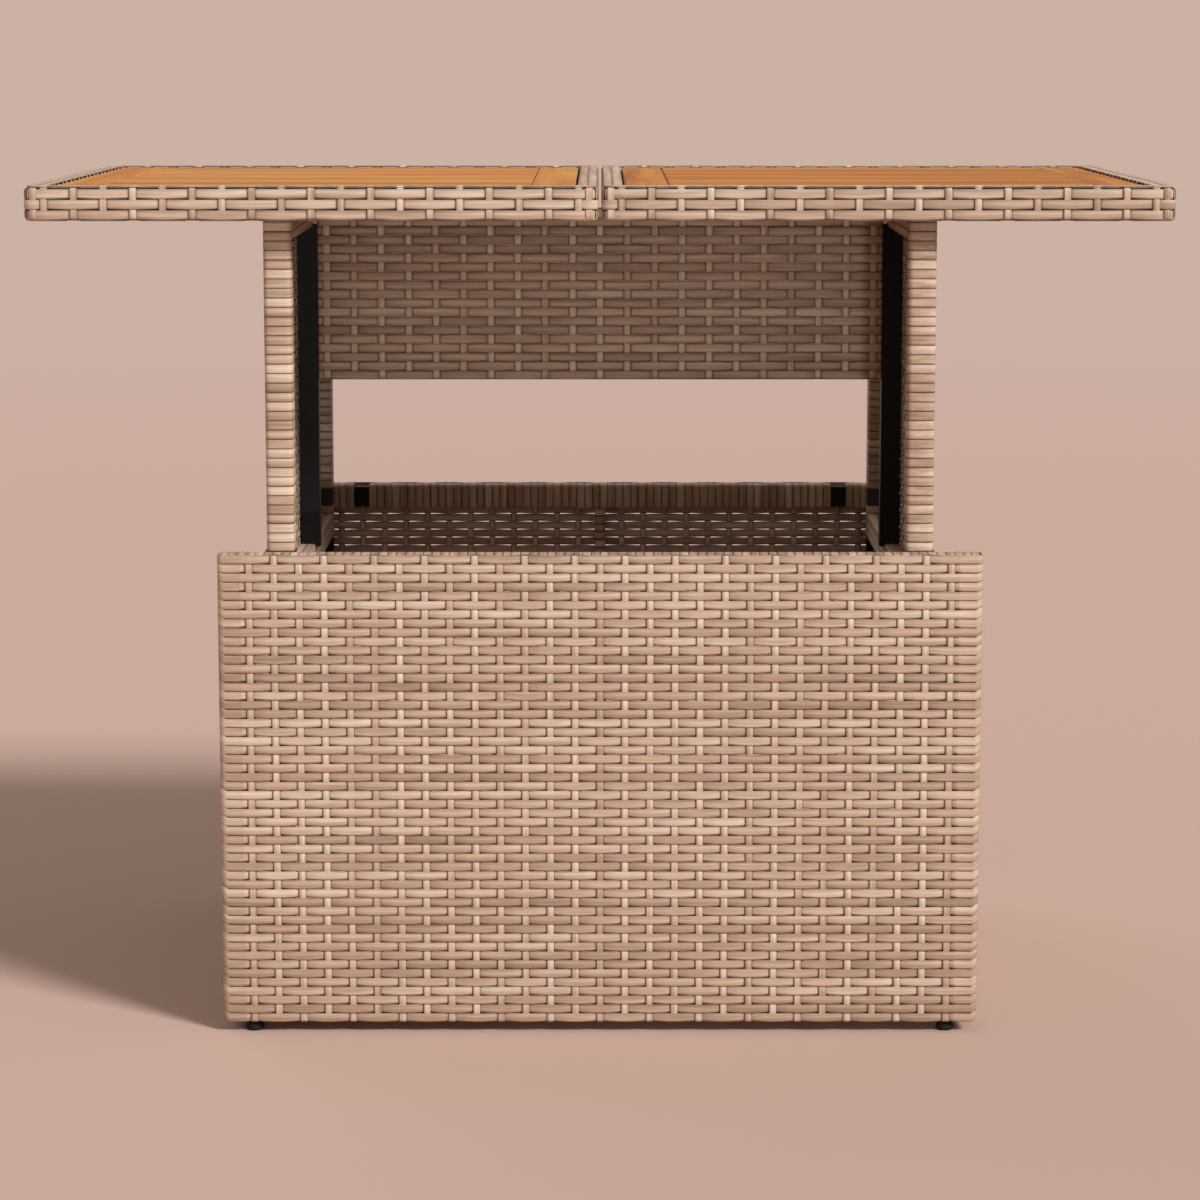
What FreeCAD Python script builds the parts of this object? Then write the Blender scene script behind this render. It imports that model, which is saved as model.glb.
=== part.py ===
import FreeCAD, Part
import os
import re

import Sketcher

# Height-adjustable garden table: a woven base box, an inner frame that lifts in guide
# channels, and a top of two board leaves in woven rims. Millimetres. The front is -Y,
# up is +Z, and the origin is on the floor under the middle of the table.

SIZES = {
    # table top
    "top_width": 1000,
    "top_depth": 550,
    "top_thick": 31,
    "raised_height": 755,
    "leaf_gap": 2,
    "rim_width": 20,
    "board_sunk": 2,
    "board_thick": 18,
    "board_gap": 0.8,
    "board_ease": 1,
    "end_board": 39,
    "bearer_width": 25,
    "bearer_thick": 4,
    # base box
    "base_height": 432,
    "top_reach": 2,
    "wall_clear": 13.5,
    "foot_clear": 9,
    "side_inset": 3.5,
    "hand_gap": 55,
    "notch_inset": 40,
    "notch_width": 14,
    "notch_height": 19,
    # wicker and the steel inside it
    "tube": 20,
    "tube_wall": 1.2,
    "wrap": 2.5,
    "weave_thick": 3,
    "edge_round": 5,
    "stile_width": 11,
    "stile_depth": 16,
    "stile_bar": 6,
    # lifting frame
    "lift_half": 283,
    "lift_clear": 2,
    "rail_drop": 1,
    "web_offset": 1,
    "upright": 18,
    "cross_height": 161,
    # guides
    "channel_width": 20,
    "channel_wall": 1.5,
    "shoe_height": 22,
    "shoe_play": 0.3,
    "shoe_lead": 2,
    "stop_gap": 0.5,
    # clamps
    "clamp_drop": 14,
    "band_rise": 4.5,
    "band_height": 17,
    "collar_step": 0.25,
    "bracket_clear": 3.5,
    "bracket_plate": 3,
    "bracket_drop": 6,
    "bracket_height": 20,
    "bracket_flange": 31,
    "bush_dia": 14,
    "bush_length": 7,
    "clamp_dia": 8,
    "tip_gap": 0.3,
    "thread_play": 0.08,
    "knob_dia": 16,
    "knob_length": 16,
    "knob_gap": 1,
    "knob_ease": 1.5,
    "knob_bore_depth": 10,
    "flute_dia": 4,
    # feet
    "foot_inset": 27.5,
    "foot_dia": 16,
    "foot_pad": 7.5,
    "foot_ease": 1.5,
    "stud_dia": 6,
    "stud_length": 14,
    "insert_dia": 9,
    "insert_flange": 14,
    "flange_thick": 1,
    # fasteners
    "bolt_dia": 6,
    "bolt_head": 11,
    "bolt_head_thick": 4,
    "bolt_grip": 12,
    "screw_dia": 4,
    "screw_head": 7,
    "screw_head_thick": 2,
    "screw_grip": 12,
    "hole_play": 0.2,
    "bolt_inset": 45,
    "top_bolt_near": 60,
    "top_bolt_far": 180,
    "end_screw": 150,
    "bracket_screw": 13,
    "bracket_pitch": 11,
}
TIED = {
    # the base box goes round the lifting frame and under the top
    "base_width": "2 * (lift_half + wall_clear + side_inset) + 3 * (tube + 2 * wrap)",
    "base_depth": "top_depth - 2 * top_reach",
    "notch_offset": "lift_half - notch_inset",
    "foot_offset": "base_width / 2 - foot_inset",
}
SLAT_COUNT = 5
FLUTE_COUNT = 8
OVER = 5  # how far a cutting block runs past the face that it opens
BLOCK_EDGES = range(1, 13)
TOP_EDGES = (2, 6, 10, 12)

SIDES = {"left": -1, "right": 1}
FACES = {"front": -1, "back": 1}

# Places worked out from the sizes above
PANEL = "(tube + 2 * wrap)"
BASE_X = "(base_width / 2)"
BASE_Y = "(base_depth / 2)"
BASE_INNER = f"({BASE_Y} - {PANEL})"
WALL_OUTER = f"({BASE_X} - side_inset)"
WALL_INNER = f"({WALL_OUTER} - {PANEL})"
WALL_TOP = "(base_height - hand_gap)"
TOP_RAIL = f"(base_height - {PANEL})"
RAIL_STEEL = "(foot_clear + wrap + tube)"
LEAF_UNDER = "(raised_height - top_thick)"
BOARD_TOP = "(raised_height - board_sunk)"
BEARER_TOP = f"({BOARD_TOP} - board_thick)"
LIFT_TOP = f"({BEARER_TOP} - bearer_thick)"
LIFT_LOW = f"({TOP_RAIL} - {PANEL} - rail_drop)"
LIFT_Y = f"({BASE_INNER} - lift_clear)"
LIFT_INNER = f"(lift_half - {PANEL} / 2)"
LIFT_OUTER = f"(lift_half + {PANEL} / 2)"
POST_Y = f"({LIFT_Y} - {PANEL} / 2)"
UPRIGHT_OUTER = "(lift_half + web_offset)"
UPRIGHT_INNER = f"({UPRIGHT_OUTER} - upright)"
CROSS_LOW = f"({LEAF_UNDER} - cross_height)"
CLAMP_Z = "(base_height - clamp_drop)"
BAND_Z = f"({CLAMP_Z} + band_rise)"
BRACKET_TOP = "(base_height - bracket_drop)"
BRACKET_X = f"({LIFT_OUTER} + bracket_clear)"
BUSH_END = f"({BRACKET_X} + bracket_plate + bush_length)"
KNOB_X = f"({BUSH_END} + knob_gap)"
GROOVE_FLOOR = f"({BASE_Y} - weave_thick - channel_wall)"
SHOE_TOP = f"({TOP_RAIL} - stop_gap)"
INSERT_LOW = "(foot_clear - flange_thick)"

doc = FreeCAD.newDocument("garden_table")
sheet = doc.addObject("Spreadsheet::Sheet", "Sizes")
rows = {**SIZES, **{alias: f"={text}" for alias, text in TIED.items()}}
for row, (alias, content) in enumerate(rows.items(), 1):
    sheet.set(f"A{row}", alias)
    sheet.set(f"B{row}", str(content))
    sheet.setAlias(f"B{row}", alias)
doc.recompute()

nodes = []


def formula(text):
    """Write a sum of size names as an expression on the sheet."""
    return re.sub(r"[a-z_]+", lambda word: f"Sizes.{word.group()}", str(text))


def value(text):
    """Work out a sum of size names as a number."""
    return float(sheet.evalExpression(formula(text)))


def bind(thing, **sums):
    """Tie properties to sums of sizes; a double underscore stands for a dot."""
    for prop, text in sums.items():
        thing.setExpression(prop.replace("__", "."), formula(text))
    return thing


def node(solid, label):
    """Name a finished piece and keep it for writing."""
    solid.Label = label
    nodes.append(solid)
    return solid


def about(side, near, far):
    """Span from near to far on the positive side, or its mirror on the negative one."""
    return (near, far) if side > 0 else (f"-({far})", f"-({near})")


def spread(half):
    """Span of a size to both sides of the middle."""
    return (f"-({half})", half)


def around(middle, width):
    """Span of a width about a middle."""
    return (f"({middle}) - ({width}) / 2", f"({middle}) + ({width}) / 2")


def inset(spans, amount, axes="xyz"):
    """Draw a block's faces in along the named axes."""
    moved = dict(spans)
    for axis in axes:
        low, high = spans[axis]
        moved[axis] = (f"({low}) + ({amount})", f"({high}) - ({amount})")
    return moved


def box(x, y, z):
    """Block given by its low and high face along each axis."""
    block = doc.addObject("Part::Box", "Block")
    for prop, axis, (low, high) in zip(("Length", "Width", "Height"), "xyz", (x, y, z)):
        bind(block, **{prop: f"({high}) - ({low})", f"Placement__Base__{axis}": low})
    return block


def rod(axis, centre, start, end, diameter):
    """Round bar along an axis, from start to end, about the other two coordinates."""
    bar = doc.addObject("Part::Cylinder", "Rod")
    turn = {"x": ((0, 1, 0), 90), "y": ((1, 0, 0), -90), "z": ((0, 0, 1), 0)}[axis]
    rotation = FreeCAD.Rotation(FreeCAD.Vector(*turn[0]), turn[1])
    bar.Placement = FreeCAD.Placement(FreeCAD.Vector(), rotation)
    places = dict(zip([a for a in "xyz" if a != axis], centre))
    places[axis] = start
    for name, place in places.items():
        bind(bar, **{f"Placement__Base__{name}": place})
    return bind(bar, Radius=f"({diameter}) / 2", Height=f"({end}) - ({start})")


def cut(base, *tools):
    """Take each tool away from a solid."""
    for tool in tools:
        piece = doc.addObject("Part::Cut", "Cut")
        piece.Base, piece.Tool = base, tool
        base = piece
    return base


def fuse(*solids):
    """Join touching solids into one."""
    piece = doc.addObject("Part::MultiFuse", "Join")
    piece.Shapes = solids
    piece.Refine = True
    return piece


def group(solids):
    """Keep separate solids together."""
    piece = doc.addObject("Part::Compound", "Group")
    piece.Links = solids
    return piece


def rounded(block):
    """Round all of a block's edges the way wicker goes over a tube."""
    piece = doc.addObject("Part::Fillet", "Rounded")
    piece.Base = block
    radius = min(value("edge_round"), value("2 * wrap"))
    piece.Edges = [(edge, radius, radius) for edge in BLOCK_EDGES]
    return piece


def eased(block, edges, amount):
    """Take the sharpness off some edges of a block."""
    piece = doc.addObject("Part::Chamfer", "Eased")
    piece.Base = block
    piece.Edges = [(edge, value(amount), value(amount)) for edge in edges]
    return piece


def ring(spans, flat, width):
    """Picture-frame ring in a block, open along its flat direction."""
    window = inset(spans, width, [axis for axis in "xyz" if axis != flat])
    return cut(box(**spans), box(**inset(window, -OVER, flat)))


def tube_bore(spans, flat, width):
    """Hollow that runs round inside the tubes of a ring."""
    return ring(inset(spans, "tube_wall"), flat, f"({width}) - 2 * tube_wall")


def fastener(axis, way, centre, seat, kind, grip, drop=0):
    """Headed bolt or screw and the hole that it needs.

    The head lies behind the seat and the shank runs from the seat for the grip. With a
    drop the head stands that far into the piece that it clamps.
    """
    seat = f"({seat}) + ({way}) * ({drop})"
    back = f"({seat}) - ({way}) * {kind}_head_thick"
    tip = f"({seat}) + ({way}) * ({grip})"
    ends = (back, seat, tip) if way > 0 else (tip, seat, back)
    shank_ends, head_ends = ((1, 2), (0, 1)) if way > 0 else ((0, 1), (1, 2))
    shank = rod(axis, centre, ends[shank_ends[0]], ends[shank_ends[1]], f"{kind}_dia")
    head = rod(axis, centre, ends[head_ends[0]], ends[head_ends[1]], f"{kind}_head")
    reach = (f"({ends[0]}) - hole_play", f"({ends[2]}) + hole_play")
    hole = rod(axis, centre, *reach, f"{kind}_dia + hole_play")
    return fuse(shank, head), hole


def fasteners(label, places):
    """One node of separate fasteners, and their holes as a single cutting tool."""
    made = [fastener(**place) for place in places]
    node(group([solid for solid, _ in made]), label)
    return group([hole for _, hole in made])


def profile(body, plane, points):
    """Closed outline of straight lines, each corner tied to sums of sizes."""
    sketch = body.newObject("Sketcher::SketchObject", "Outline")
    support = [part for part in body.Origin.OriginFeatures if part.Role == plane]
    sketch.AttachmentSupport = [(support[0], "")]
    sketch.MapMode = "FlatFace"
    corners = [FreeCAD.Vector(value(across), value(up), 0) for across, up in points]
    for start, end in zip(corners, corners[1:] + corners[:1]):
        sketch.addGeometry(Part.LineSegment(start, end), False)
    for line in range(len(points)):
        following = (line + 1) % len(points)
        sketch.addConstraint(Sketcher.Constraint("Coincident", line, 2, following, 1))
    for line, (across, up) in enumerate(points):
        for kind, text in (("DistanceX", across), ("DistanceY", up)):
            index = sketch.addConstraint(Sketcher.Constraint(kind, -1, 1, line, 1, value(text)))
            sketch.setExpression(f"Constraints[{index}]", formula(text))
    return sketch


def turned(name, points):
    """Body turned about its own Z axis from a half outline."""
    body = doc.addObject("PartDesign::Body", name)
    outline = profile(body, "XZ_Plane", points)
    spin = body.newObject("PartDesign::Revolution", "Turned")
    spin.Profile = outline
    spin.ReferenceAxis = (outline, ["V_Axis"])
    spin.Angle = 360
    body.Tip = spin
    return body


def extruded(name, points, low, high):
    """Body of one section carried up from low to high."""
    body = doc.addObject("PartDesign::Body", name)
    outline = profile(body, "XY_Plane", points)
    pad = body.newObject("PartDesign::Pad", "Length")
    pad.Profile = outline
    bind(pad, Length=f"({high}) - ({low})")
    body.Tip = pad
    return bind(body, Placement__Base__z=low)


def wicker_panel(name, spans, flat, recesses, bars=(), sleeves=(), bare=(), holes=()):
    """Woven panel: a welded ring of square tube and the wicker round and across it.

    Args:
        name: start of the two nodes' names.
        spans: the panel's outer faces.
        flat: axis along its thickness.
        recesses: spans along that axis where the panel is open between its rails.
        bars: pairs of a bar welded into the ring and the room that it takes in the wicker.
        sleeves: further wicker, round those bars.
        bare: blocks where the wicker is left off.
        holes: fasteners' holes.
    """
    steel = inset(spans, "wrap")
    core = ring(steel, flat, "tube")
    frame = cut(core, tube_bore(steel, flat, "tube"))
    frame = fuse(frame, *[bar for bar, _ in bars]) if bars else frame
    shell = rounded(box(**spans))
    for recess in recesses:
        window = inset(spans, PANEL, [axis for axis in "xyz" if axis != flat])
        window[flat] = recess
        shell = cut(shell, box(**window))
    shell = fuse(shell, *sleeves) if sleeves else shell
    node(cut(frame, *holes), f"{name}_frame")
    node(cut(shell, core, *[room for _, room in bars], *bare, *holes), f"{name}_weave")


def base_panel(face, holes):
    """Front or back panel of the base, woven on its outer face."""
    way = FACES[face]
    spans = {"x": spread(BASE_X), "y": about(way, BASE_INNER, BASE_Y),
             "z": ("foot_clear", "base_height")}
    web_face = f"({BASE_Y} - weave_thick)"
    stile = box(spread("stile_width / 2"), about(way, f"{web_face} - stile_depth", web_face),
                (f"foot_clear + {PANEL}", TOP_RAIL))
    bar = box(spread("stile_bar / 2"),
              about(way, f"{web_face} - stile_depth + wrap", f"{web_face} - wrap"),
              (RAIL_STEEL, "base_height - wrap - tube"))
    bare = [channel_seat(side, way) for side in SIDES.values()]
    if face == "back":
        bare += [notch(side) for side in SIDES.values()]
    recess = about(way, f"{BASE_INNER} - {OVER}", web_face)
    wicker_panel(f"base_{face}", spans, "y", [recess], [(bar, bar)], [stile], bare, holes)


def notch(side):
    """Place where the wrapping of the back panel's top rail is left off."""
    low, high = around("notch_offset", "notch_width")
    return box(about(side, low, high), (f"{BASE_INNER} - {OVER}", f"{BASE_INNER} + {PANEL} / 2"),
               ("base_height - notch_height", f"base_height + {OVER}"))


def side_wall(name, holes):
    """Lower side wall of the base, set between the front and back panels."""
    side = SIDES[name]
    spans = {"x": about(side, WALL_INNER, WALL_OUTER), "y": spread(BASE_INNER),
             "z": ("foot_clear", WALL_TOP)}
    web_face = f"({WALL_OUTER} - weave_thick)"
    stile = box(about(side, f"{web_face} - stile_depth", web_face), spread("stile_width / 2"),
                (f"foot_clear + {PANEL}", f"{WALL_TOP} - {PANEL}"))
    bar = box(about(side, f"{web_face} - stile_depth + wrap", f"{web_face} - wrap"),
              spread("stile_bar / 2"), (RAIL_STEEL, f"{WALL_TOP} - wrap - tube"))
    recess = about(side, f"{WALL_INNER} - {OVER}", web_face)
    wicker_panel(f"base_{name}", spans, "x", [recess], [(bar, bar)], [stile], (), holes)


def channel_seat(side, way):
    """Room that a guide channel takes in the wrapping of the bottom rail."""
    return box(about(side, *around("lift_half", "channel_width")),
               about(way, BASE_INNER, f"{BASE_Y} - weave_thick"),
               (RAIL_STEEL, f"{RAIL_STEEL} + wrap + {OVER}"))


def guide_channel(name, face):
    """U-section channel welded between the rails of a base panel, open to the inside."""
    side, way = SIDES[name], FACES[face]
    low, high = around("lift_half", "channel_width")
    back, mouth = f"({BASE_Y} - weave_thick)", BASE_INNER
    section = [(low, mouth), (low, back), (high, back), (high, mouth),
               (f"{high} - channel_wall", mouth), (f"{high} - channel_wall", GROOVE_FLOOR),
               (f"{low} + channel_wall", GROOVE_FLOOR), (f"{low} + channel_wall", mouth)]
    signed = [(f"{side} * ({across})", f"{way} * ({deep})") for across, deep in section]
    channel = extruded("Channel", signed, RAIL_STEEL, TOP_RAIL)
    node(channel, f"guide_channel_{face}_{name}")


def clamp_bracket(side, way, holes):
    """Angle bracket on a base panel's top rail, with a threaded bush for the clamp screw."""
    tall = (f"{BRACKET_TOP} - bracket_height", BRACKET_TOP)
    seat = about(way, f"{BASE_INNER} - bracket_plate", BASE_INNER)
    flange = box(about(side, BRACKET_X, f"{BRACKET_X} + bracket_flange"), seat, tall)
    cheek = box(about(side, BRACKET_X, f"{BRACKET_X} + bracket_plate"),
                about(way, f"{POST_Y} - {PANEL} / 2", BASE_INNER), tall)
    axis = (f"{way} * {POST_Y}", CLAMP_Z)
    bush = rod("x", axis, *about(side, f"{BRACKET_X} + bracket_plate", BUSH_END), "bush_dia")
    bore = rod("x", axis, *about(side, f"{BRACKET_X} - {OVER}", f"{BUSH_END} + {OVER}"),
               "clamp_dia + 2 * thread_play")
    return cut(fuse(flange, cheek, bush), bore, *holes)


def clamp(name, face):
    """Clamp screw and its fluted knob, drawn just clear of the post's collar."""
    side, way = SIDES[name], FACES[face]
    axis = (f"{way} * {POST_Y}", CLAMP_Z)
    tip, end = f"{LIFT_OUTER} + tip_gap", f"{KNOB_X} + knob_bore_depth"
    node(rod("x", axis, *about(side, tip, end), "clamp_dia"), f"clamp_screw_{face}_{name}")
    radius, bore = "knob_dia / 2", "clamp_dia / 2"
    knob = turned("Knob", [(bore, "0"), (f"{radius} - knob_ease", "0"), (radius, "knob_ease"),
                           (radius, "knob_length - knob_ease"), (f"{radius} - knob_ease", "knob_length"),
                           ("0", "knob_length"), ("0", "knob_bore_depth"), (bore, "knob_bore_depth")])
    doc.recompute()
    flute = knob.newObject("Sketcher::SketchObject", "Flute")
    flat = [part for part in knob.Origin.OriginFeatures if part.Role == "XY_Plane"]
    flute.AttachmentSupport = [(flat[0], "")]
    flute.MapMode = "FlatFace"
    rim = value("knob_dia / 2 + flute_dia / 4")
    middle = FreeCAD.Vector(rim, 0, 0)
    flute.addGeometry(Part.Circle(middle, FreeCAD.Vector(0, 0, 1), value("flute_dia / 2")))
    flute.addConstraint(Sketcher.Constraint("PointOnObject", 0, 3, -1))
    reach = flute.addConstraint(Sketcher.Constraint("DistanceX", -1, 1, 0, 3, rim))
    flute.setExpression(f"Constraints[{reach}]", formula("knob_dia / 2 + flute_dia / 4"))
    size = flute.addConstraint(Sketcher.Constraint("Diameter", 0, value("flute_dia")))
    flute.setExpression(f"Constraints[{size}]", formula("flute_dia"))
    pocket = knob.newObject("PartDesign::Pocket", "Groove")
    pocket.Profile = flute
    pocket.Type = "ThroughAll"
    pocket.Reversed = True
    grip = knob.newObject("PartDesign::PolarPattern", "Grip")
    grip.Originals = [pocket]
    grip.Axis = ([part for part in knob.Origin.OriginFeatures if part.Role == "Z_Axis"][0], [""])
    grip.Angle = 360
    grip.Occurrences = FLUTE_COUNT
    knob.Tip = grip
    outward = FreeCAD.Rotation(FreeCAD.Vector(0, 1, 0), 90 * side)
    knob.Placement = FreeCAD.Placement(FreeCAD.Vector(), outward)
    bind(knob, Placement__Base__x=f"{side} * {KNOB_X}", Placement__Base__y=axis[0],
         Placement__Base__z=axis[1])
    node(knob, f"clamp_knob_{face}_{name}")


def foot_axis(side, way):
    """Where a levelling foot stands under a base panel."""
    return (f"{side} * foot_offset", f"{way} * ({BASE_Y} - {PANEL} / 2)")


def foot_insert(side, way):
    """Flanged threaded insert in the bottom rail."""
    axis = foot_axis(side, way)
    top = "foot_pad + stud_length + wrap"
    sleeve = rod("z", axis, INSERT_LOW, top, "insert_dia")
    flange = rod("z", axis, INSERT_LOW, "foot_clear", "insert_flange")
    bore = rod("z", axis, f"{INSERT_LOW} - {OVER}", f"{top} + {OVER}", "stud_dia + 2 * thread_play")
    return cut(fuse(sleeve, flange), bore)


def foot_hole(side, way):
    """Hole in the rail and its wrapping for a foot's insert."""
    return rod("z", foot_axis(side, way), f"foot_clear - {OVER}", "foot_pad + stud_length + 2 * wrap",
               "insert_dia")


def foot(name, face):
    """Levelling glide: a domed pad on a stud."""
    axis = foot_axis(SIDES[name], FACES[face])
    radius, stud = "foot_dia / 2", "stud_dia / 2"
    top = "foot_pad + stud_length"
    glide = turned("Glide", [("0", "0"), (f"{radius} - foot_ease", "0"), (radius, "foot_ease"),
                             (radius, "foot_pad - 2 * foot_ease"), (f"{radius} - foot_ease", "foot_pad"),
                             (stud, "foot_pad"), (stud, top), ("0", top)])
    bind(glide, Placement__Base__x=axis[0], Placement__Base__y=axis[1])
    node(glide, f"foot_{face}_{name}")


def lift_side(name, holes):
    """Lifting side frame: wrapped ring with a weave inside it and a bare upright."""
    side = SIDES[name]
    spans = {"x": about(side, LIFT_INNER, LIFT_OUTER), "y": spread(LIFT_Y), "z": (LIFT_LOW, LIFT_TOP)}
    web_outer = f"({UPRIGHT_OUTER} + weave_thick)"
    recesses = [about(side, f"{LIFT_INNER} - {OVER}", UPRIGHT_OUTER),
                about(side, web_outer, f"{LIFT_OUTER} + {OVER}")]
    span = {"x": about(side, UPRIGHT_INNER, UPRIGHT_OUTER), "y": spread("upright / 2"),
            "z": (f"{LIFT_LOW} + wrap + tube", f"{LIFT_TOP} - wrap - tube")}
    post = box(**span)
    hollow = cut(post, box(**inset(inset(span, "tube_wall", "xy"), -OVER, "z")))
    bands = [box(about(side, f"{LIFT_INNER} - {OVER}", f"{LIFT_OUTER} + {OVER}"),
                 about(way, f"{LIFT_Y} - {PANEL}", f"{LIFT_Y} + {OVER}"), around(BAND_Z, "band_height"))
             for way in FACES.values()]
    wicker_panel(f"lift_{name}", spans, "x", recesses, [(hollow, post)], (), bands, holes)


def collar(side, way):
    """Hard collar round a lifting post, where the clamp screw bears."""
    outer = {"x": about(side, LIFT_INNER, LIFT_OUTER), "y": about(way, f"{LIFT_Y} - {PANEL}", LIFT_Y),
             "z": around(BAND_Z, "band_height")}
    inner = inset(inset(outer, "wrap", "xy"), -OVER, "z")
    return cut(box(**inset(outer, "collar_step", "xy")), box(**inner))


def shoe(side, way, holes):
    """Sliding block on the foot of a lifting post, running in its guide channel."""
    width = "channel_width - 2 * channel_wall - 2 * shoe_play"
    block = box(about(side, *around("lift_half", width)), about(way, LIFT_Y, f"{GROOVE_FLOOR} - shoe_play"),
                (f"{SHOE_TOP} - shoe_height", SHOE_TOP))
    leads = (9, 10) if way < 0 else (11, 12)
    return cut(eased(block, leads, "shoe_lead"), *holes)


def cross_panel(holes):
    """Woven panel under the top between the two uprights."""
    spans = {"x": spread(UPRIGHT_INNER), "y": spread(f"{PANEL} / 2"), "z": (CROSS_LOW, LEAF_UNDER)}
    recess = (f"weave_thick - {PANEL} / 2", f"{PANEL} / 2 + {OVER}")
    wicker_panel("cross_panel", spans, "y", [recess], holes=holes)


def leaf_spans(side):
    """Outer faces of a leaf."""
    return {"x": about(side, "leaf_gap / 2", "top_width / 2"), "y": spread("top_depth / 2"),
            "z": (LEAF_UNDER, "raised_height")}


def board_joints():
    """Distances from the middle of the table to the two joints between a leaf's boards."""
    reach = "(rim_width + 1.5 * board_gap + end_board)"
    return (f"(leaf_gap / 2 + {reach})", f"(top_width / 2 - {reach})")


def slat_width():
    """Width of one long board."""
    gaps = f"{SLAT_COUNT + 1} * board_gap"
    return f"((top_depth - 2 * rim_width - {gaps}) / {SLAT_COUNT})"


def slat_middle(index):
    """Middle of a long board along the depth."""
    return f"({index - (SLAT_COUNT - 1) / 2} * ({slat_width()} + board_gap))"


def leaf(name, board_holes, bearer_holes):
    """One leaf: steel ring with bearers, woven rim, end boards and long boards."""
    side = SIDES[name]
    spans = leaf_spans(side)
    rim = "rim_width - 2 * wrap"
    steel = inset(spans, "wrap")
    core = ring(steel, "z", rim)
    inner_joint, outer_joint = board_joints()
    bearers = [box(about(side, *around(place, "bearer_width")), spread(f"top_depth / 2 - wrap - ({rim})"),
                   (LIFT_TOP, BEARER_TOP)) for place in (inner_joint, "lift_half", outer_joint)]
    frame = fuse(cut(core, tube_bore(steel, "z", rim)), *bearers)
    node(cut(frame, *bearer_holes), f"leaf_{name}_frame")
    window = inset(inset(spans, "rim_width", "xy"), -OVER, "z")
    node(cut(rounded(box(**spans)), box(**window), core, *bearers), f"leaf_{name}_weave")
    deep = inset(spans, "rim_width + board_gap", "y")["y"]
    tall = (BEARER_TOP, BOARD_TOP)
    half_gap = "board_gap / 2"
    ends = {"inner": about(side, "leaf_gap / 2 + rim_width + board_gap", f"{inner_joint} - {half_gap}"),
            "outer": about(side, f"{outer_joint} + {half_gap}", "top_width / 2 - rim_width - board_gap")}
    for place, across in ends.items():
        board = eased(box(across, deep, tall), TOP_EDGES, "board_ease")
        node(cut(board, *board_holes), f"leaf_{name}_end_board_{place}")
    length = about(side, f"{inner_joint} + {half_gap}", f"{outer_joint} - {half_gap}")
    for index in range(SLAT_COUNT):
        board = eased(box(length, around(slat_middle(index), slat_width()), tall), TOP_EDGES, "board_ease")
        node(cut(board, *board_holes), f"leaf_{name}_slat_{index + 1}")


def corners():
    """Sign pairs of the four corners."""
    return [(side, way) for side in SIDES.values() for way in FACES.values()]


# Fasteners come first, because the pieces that they pass through take their holes
panel_holes = fasteners("base_panel_bolts", [
    dict(axis="y", way=way, centre=(f"{side} * ({WALL_OUTER} - {PANEL} / 2)", height),
         seat=f"{way} * ({BASE_INNER} - {PANEL})", kind="bolt", grip=f"{PANEL} + bolt_grip")
    for side, way in corners() for height in ("foot_clear + bolt_inset", f"{WALL_TOP} - bolt_inset")])
bracket_holes = fasteners("bracket_screws", [
    dict(axis="y", way=way, centre=(f"{side} * ({BRACKET_X} + bracket_screw + {step} * bracket_pitch)",
                                    f"{TOP_RAIL} + {PANEL} / 2"),
         seat=f"{way} * ({BASE_INNER} - bracket_plate)", kind="screw", grip="bracket_plate + screw_grip")
    for side, way in corners() for step in range(2)])
cross_holes = fasteners("cross_panel_bolts", [
    dict(axis="x", way=-side, centre=("0", height), seat=f"{side} * ({UPRIGHT_OUTER} + weave_thick)",
         kind="bolt", grip="weave_thick + upright + wrap + bolt_grip")
    for side in SIDES.values()
    for height in (f"{CROSS_LOW} + bolt_inset", f"{LIFT_TOP} - {PANEL} - bolt_head")])
top_holes = fasteners("top_bolts", [
    dict(axis="z", way=1, seat=f"{LIFT_TOP} - {PANEL}", kind="bolt",
         centre=(f"{side} * ({UPRIGHT_OUTER} - bolt_head / 2 - hole_play)", f"{way} * {place}"),
         grip=f"{PANEL} + bearer_thick - hole_play")
    for side, way in corners() for place in ("top_bolt_near", "top_bolt_far")])
shoe_holes = fasteners("shoe_screws", [
    dict(axis="y", way=-way, centre=(f"{side} * lift_half", f"{SHOE_TOP} - shoe_height / 2"),
         seat=f"{way} * ({GROOVE_FLOOR} - shoe_play)", kind="screw", drop="screw_head_thick + shoe_lead",
         grip=f"{GROOVE_FLOOR} - shoe_play - {LIFT_Y} - screw_head_thick - shoe_lead + screw_grip")
    for side, way in corners()])
slat_places = []
for side in SIDES.values():
    for joint, outward in zip(board_joints(), (-1, 1)):
        slat_places += [(f"{side} * ({joint} - {outward} * bearer_width / 4)", slat_middle(index))
                        for index in range(SLAT_COUNT)]
        slat_places += [(f"{side} * ({joint} + {outward} * bearer_width / 4)", f"{way} * end_screw")
                        for way in FACES.values()]
slat_holes = fasteners("slat_screws", [
    dict(axis="z", way=1, centre=place, seat=LIFT_TOP, kind="screw", grip="bearer_thick + screw_grip")
    for place in slat_places])

foot_holes = group([foot_hole(*corner) for corner in corners()])
for face in FACES:
    base_panel(face, [panel_holes, bracket_holes, foot_holes])
for name in SIDES:
    side_wall(name, [panel_holes])
for face in FACES:
    for name in SIDES:
        guide_channel(name, face)
        clamp(name, face)
        foot(name, face)
node(group([clamp_bracket(*corner, [bracket_holes]) for corner in corners()]), "clamp_brackets")
node(group([foot_insert(*corner) for corner in corners()]), "foot_inserts")

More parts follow.
